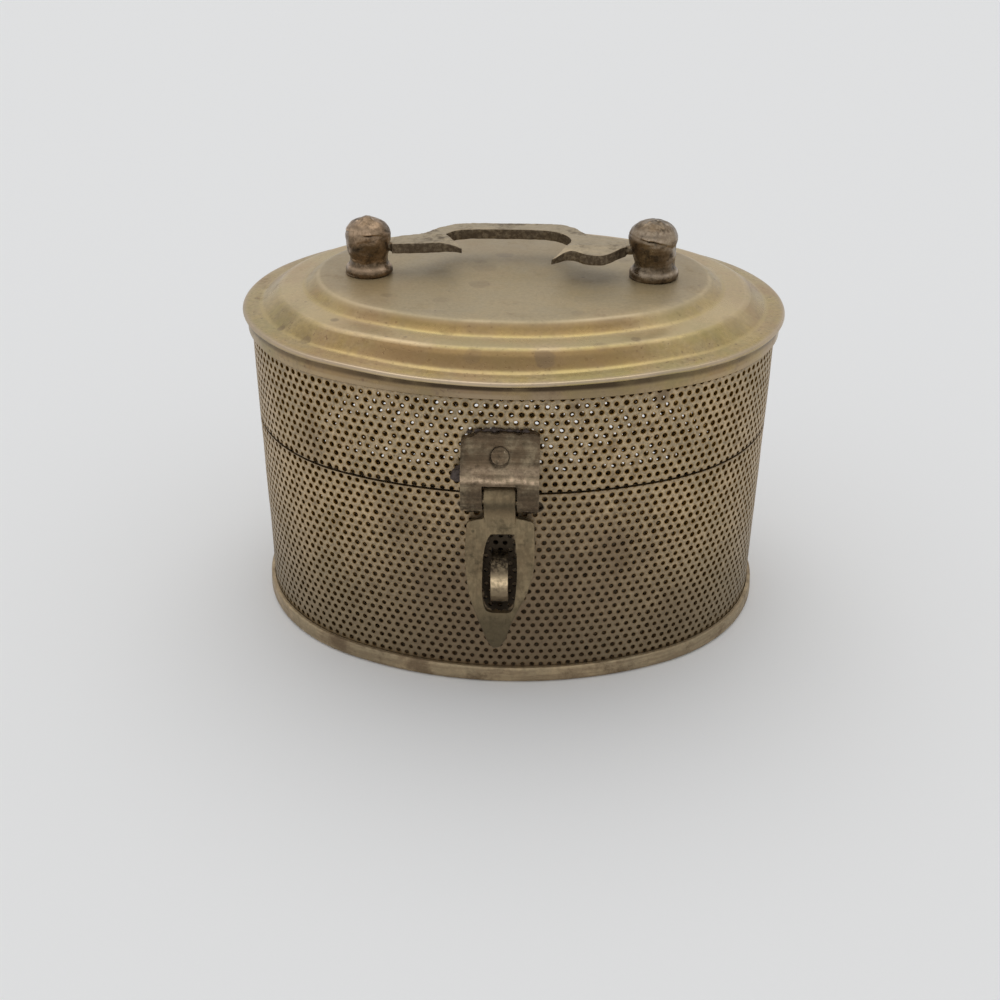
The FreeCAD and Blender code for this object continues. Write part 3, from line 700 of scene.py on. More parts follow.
def cover_brass():
    """The cover: olive tarnish on the flat, bright gold on the rings, painted highlights and
    painted shade on them, dirt and painted shade in the crease under the rim.
    """
    material, tree = new_material("cover_brass")
    tones = colours()
    rings = use(tree, tarnish, clean=tones.gold, dull=(0.40, 0.30, 0.16),
                dark=(0.17, 0.105, 0.055), patch_size=7.0 * MM, dull_share=0.55,
                dark_share=0.16, pit_size=0.45 * MM, pit_share=0.34, grain=0.14, specks=0.26)
    flat = use(tree, tarnish, clean=(0.41, 0.315, 0.18), dull=(0.362, 0.284, 0.168),
               dark=tones.umber, patch_size=14.0 * MM, dull_share=0.7, dark_share=0.12,
               pit_size=0.6 * MM, pit_share=0.12, grain=0.10, specks=0.05,
               shift=(0.02, 0.04, 0.0))
    place = place_in(tree)
    cast = cloud(place, 1.0 / (13.0 * MM), 5.0, 0.6)
    uneven = cloud(place, 1.0 / (7.0 * MM), 4.0)

    def level(low, high, out_low=0.0, out_high=1.0):
        return level_above(tree, low, high, out_low, out_high)

    top = FLAT_TOP / MM
    on_flat = level(top - 0.9, top + 0.05)
    front = off_middle(tree, 12.0, 25.0, 1.0, 0.0)
    # Painted highlight along the crests of the rings
    ridge = ease(attribute(tree, "ridge"), 0.10, 0.55) * ease(cast, 0.40, 0.60, 0.12, 0.66)
    # Painted shade on the slopes, strongest at the front
    slope_shade = ease(attribute(tree, "steep"), 0.30, 0.58) * level(46.9, 47.3)
    slope_shade = slope_shade * level(48.6, 49.2, 0.75, 0.64) * (front * 0.88 + 0.12)
    # Painted shade and dirt in the crease under the rolled rim
    crease = level(44.9, 45.5) * (1.0 - level(46.2, 46.42)) * ease(uneven, 0.25, 0.5, 0.55, 0.95)
    colour = lay(
        rings["Colour"],
        # Reddish and greenish casts of the gold, then the flat's own tarnish
        (ease(cast, 0.50, 0.64) * 0.45, (0.40, 0.245, 0.12)),
        (ease(cast, 0.36, 0.50, 1.0, 0.0) * 0.45, (0.345, 0.30, 0.115)),
        (on_flat * ease(cast, 0.36, 0.60, 1.0, 0.66), flat["Colour"]),
        # Painted highlights on the ridges, the land and the hollows, painted shade on the slopes
        (ridge * (front * 0.4 + 0.6), (0.66, 0.52, 0.32)),
        (level(48.80, 48.90) * level(49.02, 49.12, 0.30, 0.0), (0.64, 0.50, 0.31)),
        (ease(attribute(tree, "hollow"), 0.12, 0.6) * 0.42, (0.52, 0.39, 0.17)),
        (slope_shade, (0.225, 0.135, 0.057)),
        # The flat is darker at its two ends, and painted shade darkens it at the back
        (level(50.40, 50.56) * off_middle(tree, 19.0, 25.0, 0.0, 0.30), (0.22, 0.155, 0.09)),
        (ease(axis(place, "Y"), 2.0 * MM, 13.0 * MM, 0.0, 0.34) * on_flat, (0.23, 0.165, 0.10)),
        # Painted highlight on the rim's top, painted shade on the band under it, and painted shade
        # and dirt in the crease between them
        (level(46.35, 46.6) * (1.0 - level(46.72, 46.84)) * 0.55, (0.50, 0.40, 0.32)),
        ((1.0 - level(45.6, 46.4)) * (front * 0.28 + 0.30), (0.19, 0.13, 0.095)),
        (crease * (front * 0.4 + 0.6), (0.055, 0.036, 0.02)),
        *[(mark_at(tree, centre, radius, 0.9)["Mask"] * depth, (0.68, 0.52, 0.28))
          for centre, radius, depth in COVER_PAINTED_HIGHLIGHTS])
    for centre, radius, depth in COVER_SPOTS:
        mark = mark_at(tree, centre, radius, 0.5)
        colour = lay(colour, (mark["Mask"] * depth + mark["Ring"] * (depth * 0.6), tones.umber))
    surface(tree, colour, rings["Roughness"] + on_flat * 0.12 + 0.27, rings["Height"],
            0.88 - on_flat * 0.55)
    return material


def fitting_metal(name, clean, dull, dark, patch, dull_share, dark_share, pit_share, rough,
                  lines=None, edge_and_highlight_colour=(0.62, 0.46, 0.30), edge=0.5, metallic=0.85,
                  strength=0.5, patchy=(0.35, 1.3)):
    """A small worked piece of metal: patina, pits, file marks, rubbed edges and dirty corners,
    with painted highlights and painted shade from its own masks.
    """
    material, tree = new_material(name)
    metal = use(tree, tarnish, clean=clean, dull=dull, dark=dark, patch_size=patch * MM,
                dull_share=dull_share, dark_share=dark_share, pit_size=0.32 * MM,
                pit_share=pit_share, shift=(0.013, 0.027, 0.011))
    wear = use(tree, edge_wear)
    colour, height = metal["Colour"], metal["Height"]
    if lines:
        marks = use(tree, file_marks, stretch=lines)
        colour = lay(colour, (marks["Bands"] * 0.35, dark))
        height = height + marks["Lines"] * 0.9
    grit = ease(cloud(place_in(tree), 1.0 / (0.5 * MM), 4.0, 0.65), 0.32, 0.66, *patchy)
    # The piece's own masks: wear and painted highlights take the edge colour, dirt and painted
    # shade take the dark
    worn, dirt = [calc("MULTIPLY", attribute(tree, mask), grit, use_clamp=True)
                  for mask in ("worn", "dirt")]
    colour = lay(colour, (wear["Rubbed"] * edge, edge_and_highlight_colour), (wear["Dirty"] * 0.6, dark),
                 (worn, edge_and_highlight_colour), (dirt, dark))
    surface(tree, colour, metal["Roughness"] + rough, height, metallic, strength)
    return material


# ---------------------------------------------------------------- pierced walls

def step(geometry, kind, inputs=None, **settings):
    """The next node that a geometry passes through."""
    return put(geometry.tree, kind, {0: geometry, **(inputs or {})}, **settings)


def stored(geometry, name, value, data_type="FLOAT_VECTOR"):
    return step(geometry, "GeometryNodeStoreNamedAttribute", {"Name": name, "Value": value},
                data_type=data_type, domain="POINT")


def named(tree, name, data_type="FLOAT_VECTOR"):
    return put(tree, "GeometryNodeInputNamedAttribute", {"Name": name}, data_type=data_type)


def random_vector(low, high, seed):
    return put(seed.tree, "FunctionNodeRandomValue", {0: low, 1: high, "Seed": seed},
               data_type="FLOAT_VECTOR")


def shape_of(item):
    return put(item.tree, "GeometryNodeObjectInfo", {"Object": item}, "Geometry",
               transform_space="ORIGINAL")


def give(geometry, given, out):
    """Ends a geometry tree with plain mesh in the piece's material."""
    plain = step(geometry, "GeometryNodeRealizeInstances")
    feed(out, {"Geometry": step(plain, "GeometryNodeSetMaterial", {"Material": given["Material"]})})


def pierced_sheet(tree, given, out):
    """A sheet of six-sided cells, each with a hole, bent round a closed path."""
    columns, rise, first = given["Columns"], given["Row Height"], given["First Row"]
    low, high, stray_by = given["Low Edge"], given["High Edge"], given["Unevenness"]
    path = shape_of(given["Path"])
    around = step(path, "GeometryNodeCurveLength")
    pitch = around / columns

    # One cell: a hexagon with a round hole, filled between the two
    hexagon, hole = [
        put(tree, "GeometryNodeCurvePrimitiveCircle", {"Resolution": sides, "Radius": radius})
        for sides, radius in ((6, 1.0), (given["Hole Sides"], given["Hole Radius"]))]
    upright = step(hexagon, "GeometryNodeTransform", {"Rotation": (0.0, 0.0, math.pi / 2)})
    cell = step(upright, "GeometryNodeTransform", {
        "Scale": combine(tree, pitch / math.sqrt(3.0), rise * (2.0 / 3.0), 1.0)})
    outlines = put(tree, "GeometryNodeJoinGeometry", {0: [cell, hole]})
    tile = step(outlines, "GeometryNodeFillCurve", mode="TRIANGLES")

    # Places of the cells, every other row set half a cell along
    index = put(tree, "GeometryNodeInputIndex")
    row = calc("FLOOR", (index + 0.5) / columns)
    column = calc("MODULO", index, columns) + calc("MODULO", row, 2.0) * 0.5
    middle = combine(tree, column * pitch, row * rise + first, 0.0)
    points = put(tree, "GeometryNodePoints", {"Count": columns * given["Rows"], "Position": middle})
    stray = random_vector((-1.0, -1.0, 0.0), (1.0, 1.0, 0.0), given["Seed"])
    points = stored(stored(points, "cell", middle), "stray", stray)
    cells = step(points, "GeometryNodeInstanceOnPoints", {"Instance": tile})
    sheet = step(cells, "GeometryNodeRealizeInstances")

    # Holes stray a little and differ a little in size
    wander = named(tree, "stray")
    arm = vector_calc("SUBTRACT", put(tree, "GeometryNodeInputPosition"), named(tree, "cell"))
    reach = vector_calc("LENGTH", arm, out="Value")
    at_hole = calc("LESS_THAN", reach, given["Hole Radius"] * 1.1)
    swell = (axis(wander, "X") + axis(wander, "Y")) * 0.5 * stray_by
    offset = vector_calc("ADD", scaled(wander, stray_by),
                         scaled(vector_calc("NORMALIZE", arm), swell))
    sheet = step(stored(sheet, "rim", at_hole, "FLOAT"), "GeometryNodeSetPosition", {
        "Selection": at_hole, "Offset": offset})
    sheet = step(sheet, "GeometryNodeMergeByDistance", {"Distance": 0.01 * MM})

    # Rows wander, the outermost cells reach the plain edges, and what lies past an edge is cut off
    place = put(tree, "GeometryNodeInputPosition")
    x, y, z = [axis(place, name) for name in "XYZ"]
    turn = x / around * (2 * math.pi)
    wave = calc("SINE", turn + 1.1) + calc("SINE", turn * 3.0) * 0.35
    margin = rise * 0.3
    last = first + (given["Rows"] - 1.0) * rise
    plain = 1.0 - named(tree, "rim", "FLOAT")
    level = y + wave * given["Row Drift"]
    for past, edge in ((calc("LESS_THAN", y, first - margin), low),
                       (calc("GREATER_THAN", y, last + margin), high)):
        level = put(tree, "ShaderNodeMix", {0: past * plain, 2: level, 3: edge})
    level = calc("MAXIMUM", calc("MINIMUM", level, high), low)
    sheet = step(sheet, "GeometryNodeSetPosition", {
        "Position": combine(tree, x, level, given["Sheet"] * -1.0)})
    sliver = calc("LESS_THAN", put(tree, "GeometryNodeInputMeshFaceArea"), 0.0005 * MM * MM)
    sheet = step(sheet, "GeometryNodeDeleteGeometry", {"Selection": sliver},
                 domain="FACE", mode="ALL")

    # The sheet's thickness
    raised = step(sheet, "GeometryNodeExtrudeMesh", {
        "Offset": (0.0, 0.0, 1.0), "Offset Scale": given["Sheet"], "Individual": False},
        mode="FACES")
    inside = step(sheet, "GeometryNodeFlipFaces")
    both = put(tree, "GeometryNodeJoinGeometry", {0: [raised, inside]})

    # Bent round the path, with shallow dents
    run = calc("FLOORED_MODULO", x, around)
    tangent = put(tree, "GeometryNodeSampleCurve", {"Curves": path, "Length": run}, "Tangent",
                  mode="LENGTH")
    outward = vector_calc("NORMALIZE", vector_calc("CROSS_PRODUCT", tangent, (0.0, 0.0, 1.0)))
    base = vector_calc("ADD", tangent.beside("Position"), combine(tree, 0.0, 0.0, y))
    depth = (cloud(base, 1.0 / (9.0 * MM), 1.0) - 1.0) * given["Dent Depth"]
    shaped = step(both, "GeometryNodeSetPosition", {
        "Position": vector_calc("ADD", base, scaled(outward, z + depth))})
    shaped = step(shaped, "GeometryNodeMergeByDistance", {"Distance": 0.004 * MM})
    for name in ("cell", "stray"):
        shaped = step(shaped, "GeometryNodeRemoveAttribute", {"Name": name})
    give(shaped, given, out)


def rivet_row(tree, given, out):
    """A row of like rivets laid through a leaf, each turned its own way."""
    places = put(tree, "GeometryNodeMeshLine", {
        "Count": given["Count"], "Start Location": given["Start"], "Offset": given["Step"]})
    laid = step(places, "GeometryNodeInstanceOnPoints", {
        "Instance": shape_of(given["Rivet"]), "Rotation": (-math.pi / 2, 0.0, 0.0)})
    lean, back = given["Lean"], given["Lean"] * -1.0
    turn = random_vector(combine(tree, back, back, -math.pi), combine(tree, lean, lean, math.pi),
                         given["Seed"])
    laid = step(laid, "GeometryNodeRotateInstances", {"Rotation": turn, "Local Space": True})
    give(laid, given, out)


def oval_path():
    """The oval as a closed curve of short straight runs."""
    curve = bpy.data.curves.new("oval_path", "CURVE")
    curve.dimensions = "3D"
    stations = oval_stations(720, 600)
    spline = curve.splines.new("POLY")
    spline.points.add(len(stations) - 1)
    for point, (x, y, _, _) in zip(spline.points, stations):
        point.co = (x, y, 0.0, 1.0)
    spline.use_cyclic_u = True
    return link("oval_path", curve)


def grow(build, name, inputs):
    """Runs a geometry tree, built at its first use, and returns its result as a plain mesh."""
    tree = bpy.data.node_groups.get(build.__name__)
    if not tree:
        tree, given, out = new_group(build.__name__, "GeometryNodeTree", inputs,
                                     {"Geometry": "Geometry"})
        build(tree, given, out)
    carrier = link(name, bpy.data.meshes.new(name))
    modifier = carrier.modifiers.new("grow", "NODES")
    modifier.node_group = tree
    sockets = {item.name: item.identifier for item in tree.interface.items_tree
               if item.item_type == "SOCKET" and item.in_out == "INPUT"}
    for label, value in inputs.items():
        modifier[sockets[label]] = value
    bpy.context.view_layer.update()
    return bake(carrier)


class PAANBOX_OT_pierced_walls(bpy.types.Operator):
    """Make the pierced wall of the body and the pierced skirt of the lid"""
    bl_idname = "paanbox.pierced_walls"
    bl_label = "Pierced Walls"

    def execute(self, context):
        size = sizes()
        material, path = pierced_brass(), oval_path()
        rise, first, drift = size.row_height, size.first_row, size.row_drift
        rows_to_seam = int((SEAM - first + drift) / rise) + 2
        rows_in_all = int((SKIRT_HIGH.z - 1.85 * MM - first) / rise) + 1
        seam_row = int((SKIRT_LOW.z - first - drift) / rise) - 1
        seam_row -= seam_row % 2
        walls = (
            ("pierced_body_wall", "body", "body_wall", 0, rows_to_seam, WALL_LOW.z,
             SEAM - 0.09 * MM, 11),
            ("pierced_skirt", "lid", "lid_wall", seam_row, rows_in_all - seam_row,
             SKIRT_LOW.z + 0.03 * MM, SKIRT_HIGH.z, 12),
        )
        for name, body, node, start, rows, low, high, seed in walls:
            piece = grow(pierced_sheet, name, {
                "Path": path, "Columns": size.holes_round, "Rows": rows, "Row Height": rise,
                "First Row": first + start * rise, "Low Edge": low, "High Edge": high,
                "Hole Radius": size.hole_radius, "Hole Sides": 8,
                "Unevenness": size.hole_unevenness, "Row Drift": drift, "Sheet": size.wall,
                "Dent Depth": size.dent_depth, "Seed": seed, "Material": material})
            if len(piece.data.polygons) < rows * size.holes_round:
                raise RuntimeError(f"{name} came out without its holes")
            mark_sharp(piece, 40.0)
            paint(piece, outer=lambda place, normal: normal.xy.dot(place.xy.normalized()))
            finish_piece(piece, body, node, material)
        bpy.data.objects.remove(path)
        return {"FINISHED"}


# ---------------------------------------------------------------- spun and stamped pieces

class PAANBOX_OT_base_pan(bpy.types.Operator):
    """Make the floor with its plain foot band, and the collar inside the seam"""
    bl_idname = "paanbox.base_pan"
    bl_label = "Base Pan and Collar"

    def execute(self, context):
        tones = colours()
        proud, top = (FOOT_HIGH.x - WALL_HIGH.x) / MM, FOOT_HIGH.z / MM
        floor, edge = 0.9, 0.28
        outline = [(-24.0, 0.0), (-10.0, 0.0)]
        outline += arc_points((proud - 2 * edge, 2 * edge), 2 * edge, -90.0, 0.0, 5)
        outline += [(proud - 0.06, top * 0.6)]
        outline += arc_points((proud - edge - 0.1, top - edge), edge, 0.0, 90.0, 4)
        outline += [(0.02, top), (0.0, top - 0.1), (0.0, floor), (-10.0, floor), (-24.0, floor)]
        material = fitting_metal("base_brass", tones.brass, tones.olive, tones.umber,
                                 9.0, 0.6, 0.35, 0.08, 0.42, lines=(0.1, 0.1, 1.0), edge=0.25,
                                 edge_and_highlight_colour=(0.55, 0.43, 0.29))
        pan = new_piece("spun_base_pan", sweep(in_metres(outline), False))
        finish_piece(pan, "body", "base_pan", material)

        wall, seam = sizes().wall / MM, SEAM / MM
        low, high = COLLAR_LOW.z / MM, COLLAR_HIGH.z / MM
        lower, upper, inner = -wall - 0.2, -wall - 0.5, -wall - 1.2
        band = [(lower, low), (lower, seam), (upper, seam)]
        band += arc_points((upper - 0.15, high - 0.15), 0.15, 0.0, 90.0, 3)
        band += [(inner, high), (inner, low)]
        inside = fitting_metal("inside_brass", tones.olive, tones.umber, tones.soot,
                               6.0, 0.6, 0.3, 0.1, 0.5, edge=0.2)
        collar = new_piece("seat_band", sweep(in_metres(band)))
        # Dirt and painted shade on the band where it shows at the seam
        paint(collar, dirt=lambda place, normal: 0.95 * near(place.z, seam, 1.2))
        finish_piece(collar, "body", "seat_collar", inside)
        return {"FINISHED"}


# The cover in offset and height, in millimetres: its band, its rings above the rolled rim, and
# its inner line from the flat back to the skirt
COVER_BAND = ((0.37, 43.9), (0.45, 43.98), (0.45, 44.9), (0.45, 45.6), (0.42, 46.0))
COVER_RINGS = (
    (0.45, 46.80), (-0.35, 46.90), (-1.05, 46.95), (-1.6, 47.02), (-2.05, 47.22), (-2.9, 47.80),
    (-3.65, 48.35), (-4.15, 48.68), (-4.65, 48.86), (-5.3, 48.93), (-6.4, 48.98), (-7.4, 49.03),
    (-8.0, 49.16), (-8.6, 49.52), (-9.35, 50.08), (-9.95, 50.40), (-10.6, 50.54), (-11.3, 50.59),
    (-12.0, 50.60),
)
COVER_UNDER = (
    (-12.0, 49.9), (-10.9, 49.85), (-10.2, 49.65), (-9.6, 49.3), (-8.8, 48.7), (-8.1, 48.35),
    (-5.3, 48.25), (-4.7, 48.15), (-4.0, 47.75), (-3.3, 47.25), (-2.5, 46.7), (-1.9, 46.4),
    (-0.8, 46.0), (0.0, 46.0), (0.0, 43.9),
)


def rim_wobble(place, outward, offset):
    """The rim and rings are a little out of true: knocked at the right, and bent down in front."""
    here = place / MM
    edge = clamp((here.z - 43.0) / 3.0)
    knock = max(0.0, 1.0 - (here - Vector((24.4, -27.2, 47.0))).length / 5.0)
    bent = 0.46 * near(here.x, -2.0, 13.0) * clamp((offset / MM + 3.4) / 2.0)
    bent *= clamp(here.z - 44.9) * (here.y < 0.0)
    lift = (noise.noise(here / 11.0) * 0.10 - 0.28 * knock * knock) * edge - bent
    return (Vector((0.0, 0.0, lift)) - outward * 0.10 * knock * edge) * MM


class PAANBOX_OT_cover(bpy.types.Operator):
    """Make the stamped cover with its rolled rim and rings"""
    bl_idname = "paanbox.cover"
    bl_label = "Stamped Cover"

    def execute(self, context):
        top, sheet = FLAT_TOP / MM, 0.7
        middle = (-14.0, -18.0, -22.0, -25.0)
        bead = arc_points((0.68, 46.42), 0.35, -140.0, 80.0, 10)
        # From the middle of the flat, back underneath it, then up over band, rim and rings
        outline = [(offset, top - sheet) for offset in reversed(middle)]
        outline += [*COVER_UNDER, *COVER_BAND, *bead[:-1]]
        outline += smooth_path([bead[-1], *COVER_RINGS], 4)
        outline += [(offset, top) for offset in middle]
        piece = new_piece("stamped_cover", sweep(in_metres(outline), False, rim_wobble))
        finish_piece(piece, "lid", "lid_top", cover_brass())
        return {"FINISHED"}


# ---------------------------------------------------------------- knobs and handle

# Each knob as radius and height above the flat of the cover, in millimetres
KNOB_FOOT = ((0.0, -2.2), (0.9, -2.2), (1.75, -1.75), (1.85, -1.35), (1.2, -1.3), (1.2, -0.02))
LEFT_KNOB = KNOB_FOOT + (
    (3.0, 0.0), (3.28, 0.08), (3.38, 0.35), (3.38, 0.75), (3.22, 1.1), (3.0, 1.35), (2.86, 1.6),
    (2.78, 1.95), (2.80, 2.4), (2.9, 2.85), (3.04, 3.35), (3.16, 3.9), (3.26, 4.5), (3.30, 5.1),
    (3.27, 5.7), (3.14, 6.25), (2.86, 6.8), (2.42, 7.25), (1.9, 7.58), (1.4, 7.8), (0.95, 7.98),
    (0.65, 8.16), (0.3, 8.24), (0.0, 8.25),
)
RIGHT_KNOB = KNOB_FOOT + (
    (3.1, 0.0), (3.4, 0.08), (3.5, 0.35), (3.5, 0.85), (3.36, 1.2), (3.12, 1.5), (2.98, 1.8),
    (2.96, 2.2), (3.04, 2.8), (3.16, 3.4), (3.28, 4.1), (3.4, 4.8), (3.5, 5.3), (3.55, 5.7),
    (3.5, 6.1), (3.32, 6.6), (3.02, 7.05), (2.6, 7.48), (2.05, 7.85), (1.45, 8.08), (0.9, 8.2),
    (0.4, 8.26), (0.0, 8.28),
)

# Both knobs sit a touch right of their tenons, in millimetres
KNOB_SHIFT = 0.15


def drill(piece, centre, low, high, radius, steps=24):
    """Cuts a round hole across the box through a piece."""
    bm = bmesh.new()
    add_rod(bm, centre, low, high, radius, steps)
    cut_away(piece, new_piece("drill", bm))


def knob(name, node, line, phase, pivot_side, ledge, facing, lump, lump_height, lean, slant):
    """One turned and hammered knob with a cross hole for the handle's stub."""
    low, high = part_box(node)
    centre = Vector(((low.x + high.x) / 2, (low.y + high.y) / 2, FLAT_TOP))

    def crease_at(rise, angle):
        """How far a point is above, and how deep in, the hammered crease round the dome."""
        fold = ledge + 0.20 * math.cos(2 * (angle - facing)) + 0.09 * math.sin(5 * angle + phase)
        fold -= slant * math.cos(angle)
        toward = max(0.0, math.cos(angle - facing)) ** 0.5
        toward *= 0.55 + 0.45 * math.sin(4 * angle + phase)
        step = max(-1.0, min(1.0, (rise - fold) / 0.12))
        return toward * step, toward * near(rise, fold - 0.09, 0.12)

    def worked(place, angle):
        here = place / MM
        rise, flat = here.z, Vector((here.x, here.y, 0.0))
        lift, crown = clamp(rise / 2.0), clamp((rise - 6.4) / 1.6)
        above, crease = crease_at(rise, angle)
        push = math.cos(5 * (angle + phase)) * 0.03 + math.cos(3 * angle - phase) * 0.04 - 0.06
        push += noise.noise(here / 1.3 + Vector((phase, 0.0, 0.0))) * 0.13
        push += noise.noise(here / 0.45 + Vector((0.0, phase, 0.0))) * 0.05
        push = (push + 0.08 * above - 0.20 * crease) * lift
        if rise > 0.2:
            push += noise.noise(here / 1.6 + Vector((3.0, phase, 0.0))) * 0.10 * (1.0 - lift)
        moved = here + flat.normalized() * push
        moved.x += lean * clamp((rise - 2.2) / 2.6) + KNOB_SHIFT * clamp(rise / 0.3)
        moved.z += lump_height * near((flat - lump).length, 0.0, 0.75) * crown
        moved.z += noise.noise(here / 0.6) * 0.09 * crown
        moved.z = min(moved.z, (CAD_BOX[1].z - FLAT_TOP) / MM - 0.01)
        return moved * MM

    profile = [(max(point.x, 0.0), point.y) for point in smooth_path(line, 4)]
    profile[0], profile[-1] = (0.0, profile[0][1]), (0.0, profile[-1][1])
    piece = new_piece(name, lathe(in_metres(profile), centre, 64, worked))
    drill(piece, Vector((centre.x, centre.y, HANDLE_PIVOT.z)), 0.8 * MM * pivot_side,
          5.0 * MM * pivot_side, 0.80 * MM)

    def look(place):
        """A point's arm from the centre, its share of facing front, and the crease there."""
        arm = place - centre / MM
        angle = math.atan2(arm.y, arm.x)
        return arm, max(0.0, math.cos(angle - facing)), crease_at(arm.z, angle)

    # Dirt at the neck, the foot and the crown, painted shade in the crease and below it at the
    # front
    def dirt(place, normal):
        arm, front, (_, crease) = look(place)
        swirl = 0.35 * max(0.0, math.sin((arm - lump).length / 0.22 + phase))
        return max(0.95 * crease, 0.55 * near(arm.z, 1.85, 0.4), 0.6 * near(arm.z, 0.0, 0.25),
                   0.5 * near(arm.z, ledge + 0.95, 0.25) * front ** 3,
                   swirl * clamp((arm.z - 6.6) / 0.8), 0.35 * clamp((ledge - arm.z) / 2.0) * front)

    # Rubbed top of the flange, painted highlights along the top of the crease and on the dome's
    # upper front
    def worn(place, normal):
        arm, front, (above, _) = look(place)
        return max(0.55 * near(arm.z, 1.2, 0.2), 0.75 * near(arm.z, ledge + 0.3, 0.16) * above,
                   0.50 * front * clamp((arm.z - 5.8) / 0.6) * clamp((7.6 - arm.z) / 0.5))

    paint(piece, dirt=dirt, worn=worn)
    mark_sharp(piece, 50.0)
    return piece


class PAANBOX_OT_knobs(bpy.types.Operator):
    """Make the two knobs that carry the handle, and their washers under the cover"""
    bl_idname = "paanbox.knobs"
    bl_label = "Knobs"

    def execute(self, context):
        tones = colours()
        # Side, outline, phase of its dents, side of the handle, height of its crease, the way the
        # crease faces, lump on its crown and that lump's height, lean and slant, then its metal,
        # with the colour of its rubbed edges and painted highlights last
        knobs = (
            ("left", LEFT_KNOB, 0.6, 1.0, 6.2, -118.0 * DEG, Vector((0.35, -0.2, 0.0)), 0.0, 0.0,
             0.15, "knob_copper", tones.copper, 0.24, (0.78, 0.56, 0.38)),
            ("right", RIGHT_KNOB, 2.4, -1.0, 5.75, -105.0 * DEG, Vector((0.9, -0.5, 0.0)), 0.12,
             -0.40, 0.75, "knob_brown", (0.31, 0.24, 0.165), 0.25, (0.70, 0.56, 0.42)),
        )
        for side, line, *form, metal, clean, rough, rubbed in knobs:
            material = fitting_metal(metal, clean, tones.umber, tones.soot, 2.2, 0.62, 0.36, 0.30,
                                     rough, edge=0.7, metallic=0.95, edge_and_highlight_colour=rubbed,
                                     strength=0.8)
            piece = knob(f"knob_{side}", f"post_{side}", line, *form)
            finish_piece(piece, "lid", f"post_{side}", material)
        washers = forged_copy("post_washers", "knob_washers", 0.12, soften=1)
        finish_piece(washers, "lid", "post_washers",
                     bpy.data.materials["inside_brass"])
        return {"FINISHED"}


# The handle seen from above, in millimetres right of and behind its pivot line
HANDLE_RUNS = (
    # Its back
    ((-16.9, 2.4), (-15.8, 2.95), (-14.4, 3.65), (-13.0, 4.5), (-12.1, 5.5), (-11.4, 6.7),
     (-10.5, 7.8), (-9.3, 8.7), (-7.9, 9.5), (-6.0, 9.95), (-1.8, 10.1), (2.6, 10.2), (5.6, 10.15),
     (7.9, 9.55), (9.4, 8.1), (10.3, 6.4), (11.1, 5.25), (12.9, 4.45), (15.0, 3.35), (16.5, 2.75)),
    # Its front at the right, and the cusp there
    ((16.5, -0.75), (15.8, -1.35), (14.8, -2.4), (13.6, -3.3), (12.3, -3.65), (10.9, -3.3),
     (9.7, -2.5), (8.7, -2.0), (7.6, -2.3), (6.7, -3.1)),
    ((5.75, -3.95), (6.7, -2.4), (7.7, -0.9), (8.45, 0.9)),
    # The inside of the loop
    ((8.45, 0.9), (8.6, 2.2), (8.2, 3.8), (7.2, 5.3), (5.7, 6.3), (3.4, 6.75), (-0.2, 6.85),
     (-4.0, 6.75), (-6.6, 6.5), (-8.3, 5.7), (-9.45, 4.1)),
    # The cusp at the left, and its front there
    ((-9.45, 4.1), (-8.6, 2.4), (-7.7, 0.9), (-6.75, -0.35)),
    ((-6.85, -1.05), (-7.9, -0.25), (-9.5, 0.05), (-12.2, -0.45), (-14.9, -0.8), (-16.9, -1.0)),
)


class PAANBOX_OT_handle(bpy.types.Operator):
    """Make the flat loop handle with its two cusps"""
    bl_idname = "paanbox.handle"
    bl_label = "Loop Handle"

    def execute(self, context):
        outline = []
        for run in HANDLE_RUNS:
            for place in in_metres(smooth_path(run, 3)):
                if not outline or math.dist(outline[-1], place) > 0.05 * MM:
                    outline.append(place)
        bm = bmesh.new()
        add_plate(bm, list(reversed(outline)), -0.9 * MM, 0.7 * MM)
        for side in (-1.0, 1.0):
            add_rod(bm, Vector(), side * 15.2 * MM, side * 19.3 * MM, 0.72 * MM)
        piece = forged(new_piece("loop_handle", bm), 0.14, soften=3, hammer=0.05, hammer_size=0.9,
                       lumps=0.07)
        for vert in piece.data.vertices:
            u, v, height = vert.co / MM
            droop = clamp((-0.2 - v) / 2.6) * clamp((u - 3.0) / 3.0) * clamp((16.2 - u) / 3.0)
            tip_left = max(0.0, 1.0 - math.dist((u, v), (-6.8, -0.7)) / 3.4)
            tip_right = max(0.0, 1.0 - math.dist((u, v), (5.75, -3.9)) / 3.6)
            height *= 1.0 - 0.55 * max(tip_left, tip_right)
            vert.co.z = (height - 0.42 * droop - 0.25 * tip_left - 0.35 * tip_right) * MM

        # Painted shade on the side faces; rubbing and a painted highlight on the faces that slope
        # up along the top edges
        paint(piece, dirt=lambda place, normal: 0.95 * clamp((0.75 - abs(normal.z)) / 0.45),
              worn=lambda place, normal: (0.45 * clamp((normal.z - 0.45) / 0.2)
                                          * clamp((0.97 - normal.z) / 0.1)))
        piece.data.transform(Matrix.Translation(HANDLE_PIVOT))
        material = fitting_metal("handle_brass", colours().olive, (0.32, 0.26, 0.175),
                                 (0.098, 0.070, 0.043), 5.0, 0.5, 0.32, 0.16, 0.46, edge=0.3,
                                 metallic=0.65, patchy=(0.6, 1.15))
        finish_piece(piece, "handle", "handle", material)
        return {"FINISHED"}


# ---------------------------------------------------------------- hasp, staple and hinge

# Height of the ridge between the hasp plate's face and its ears, in millimetres
RIDGE = 34.0

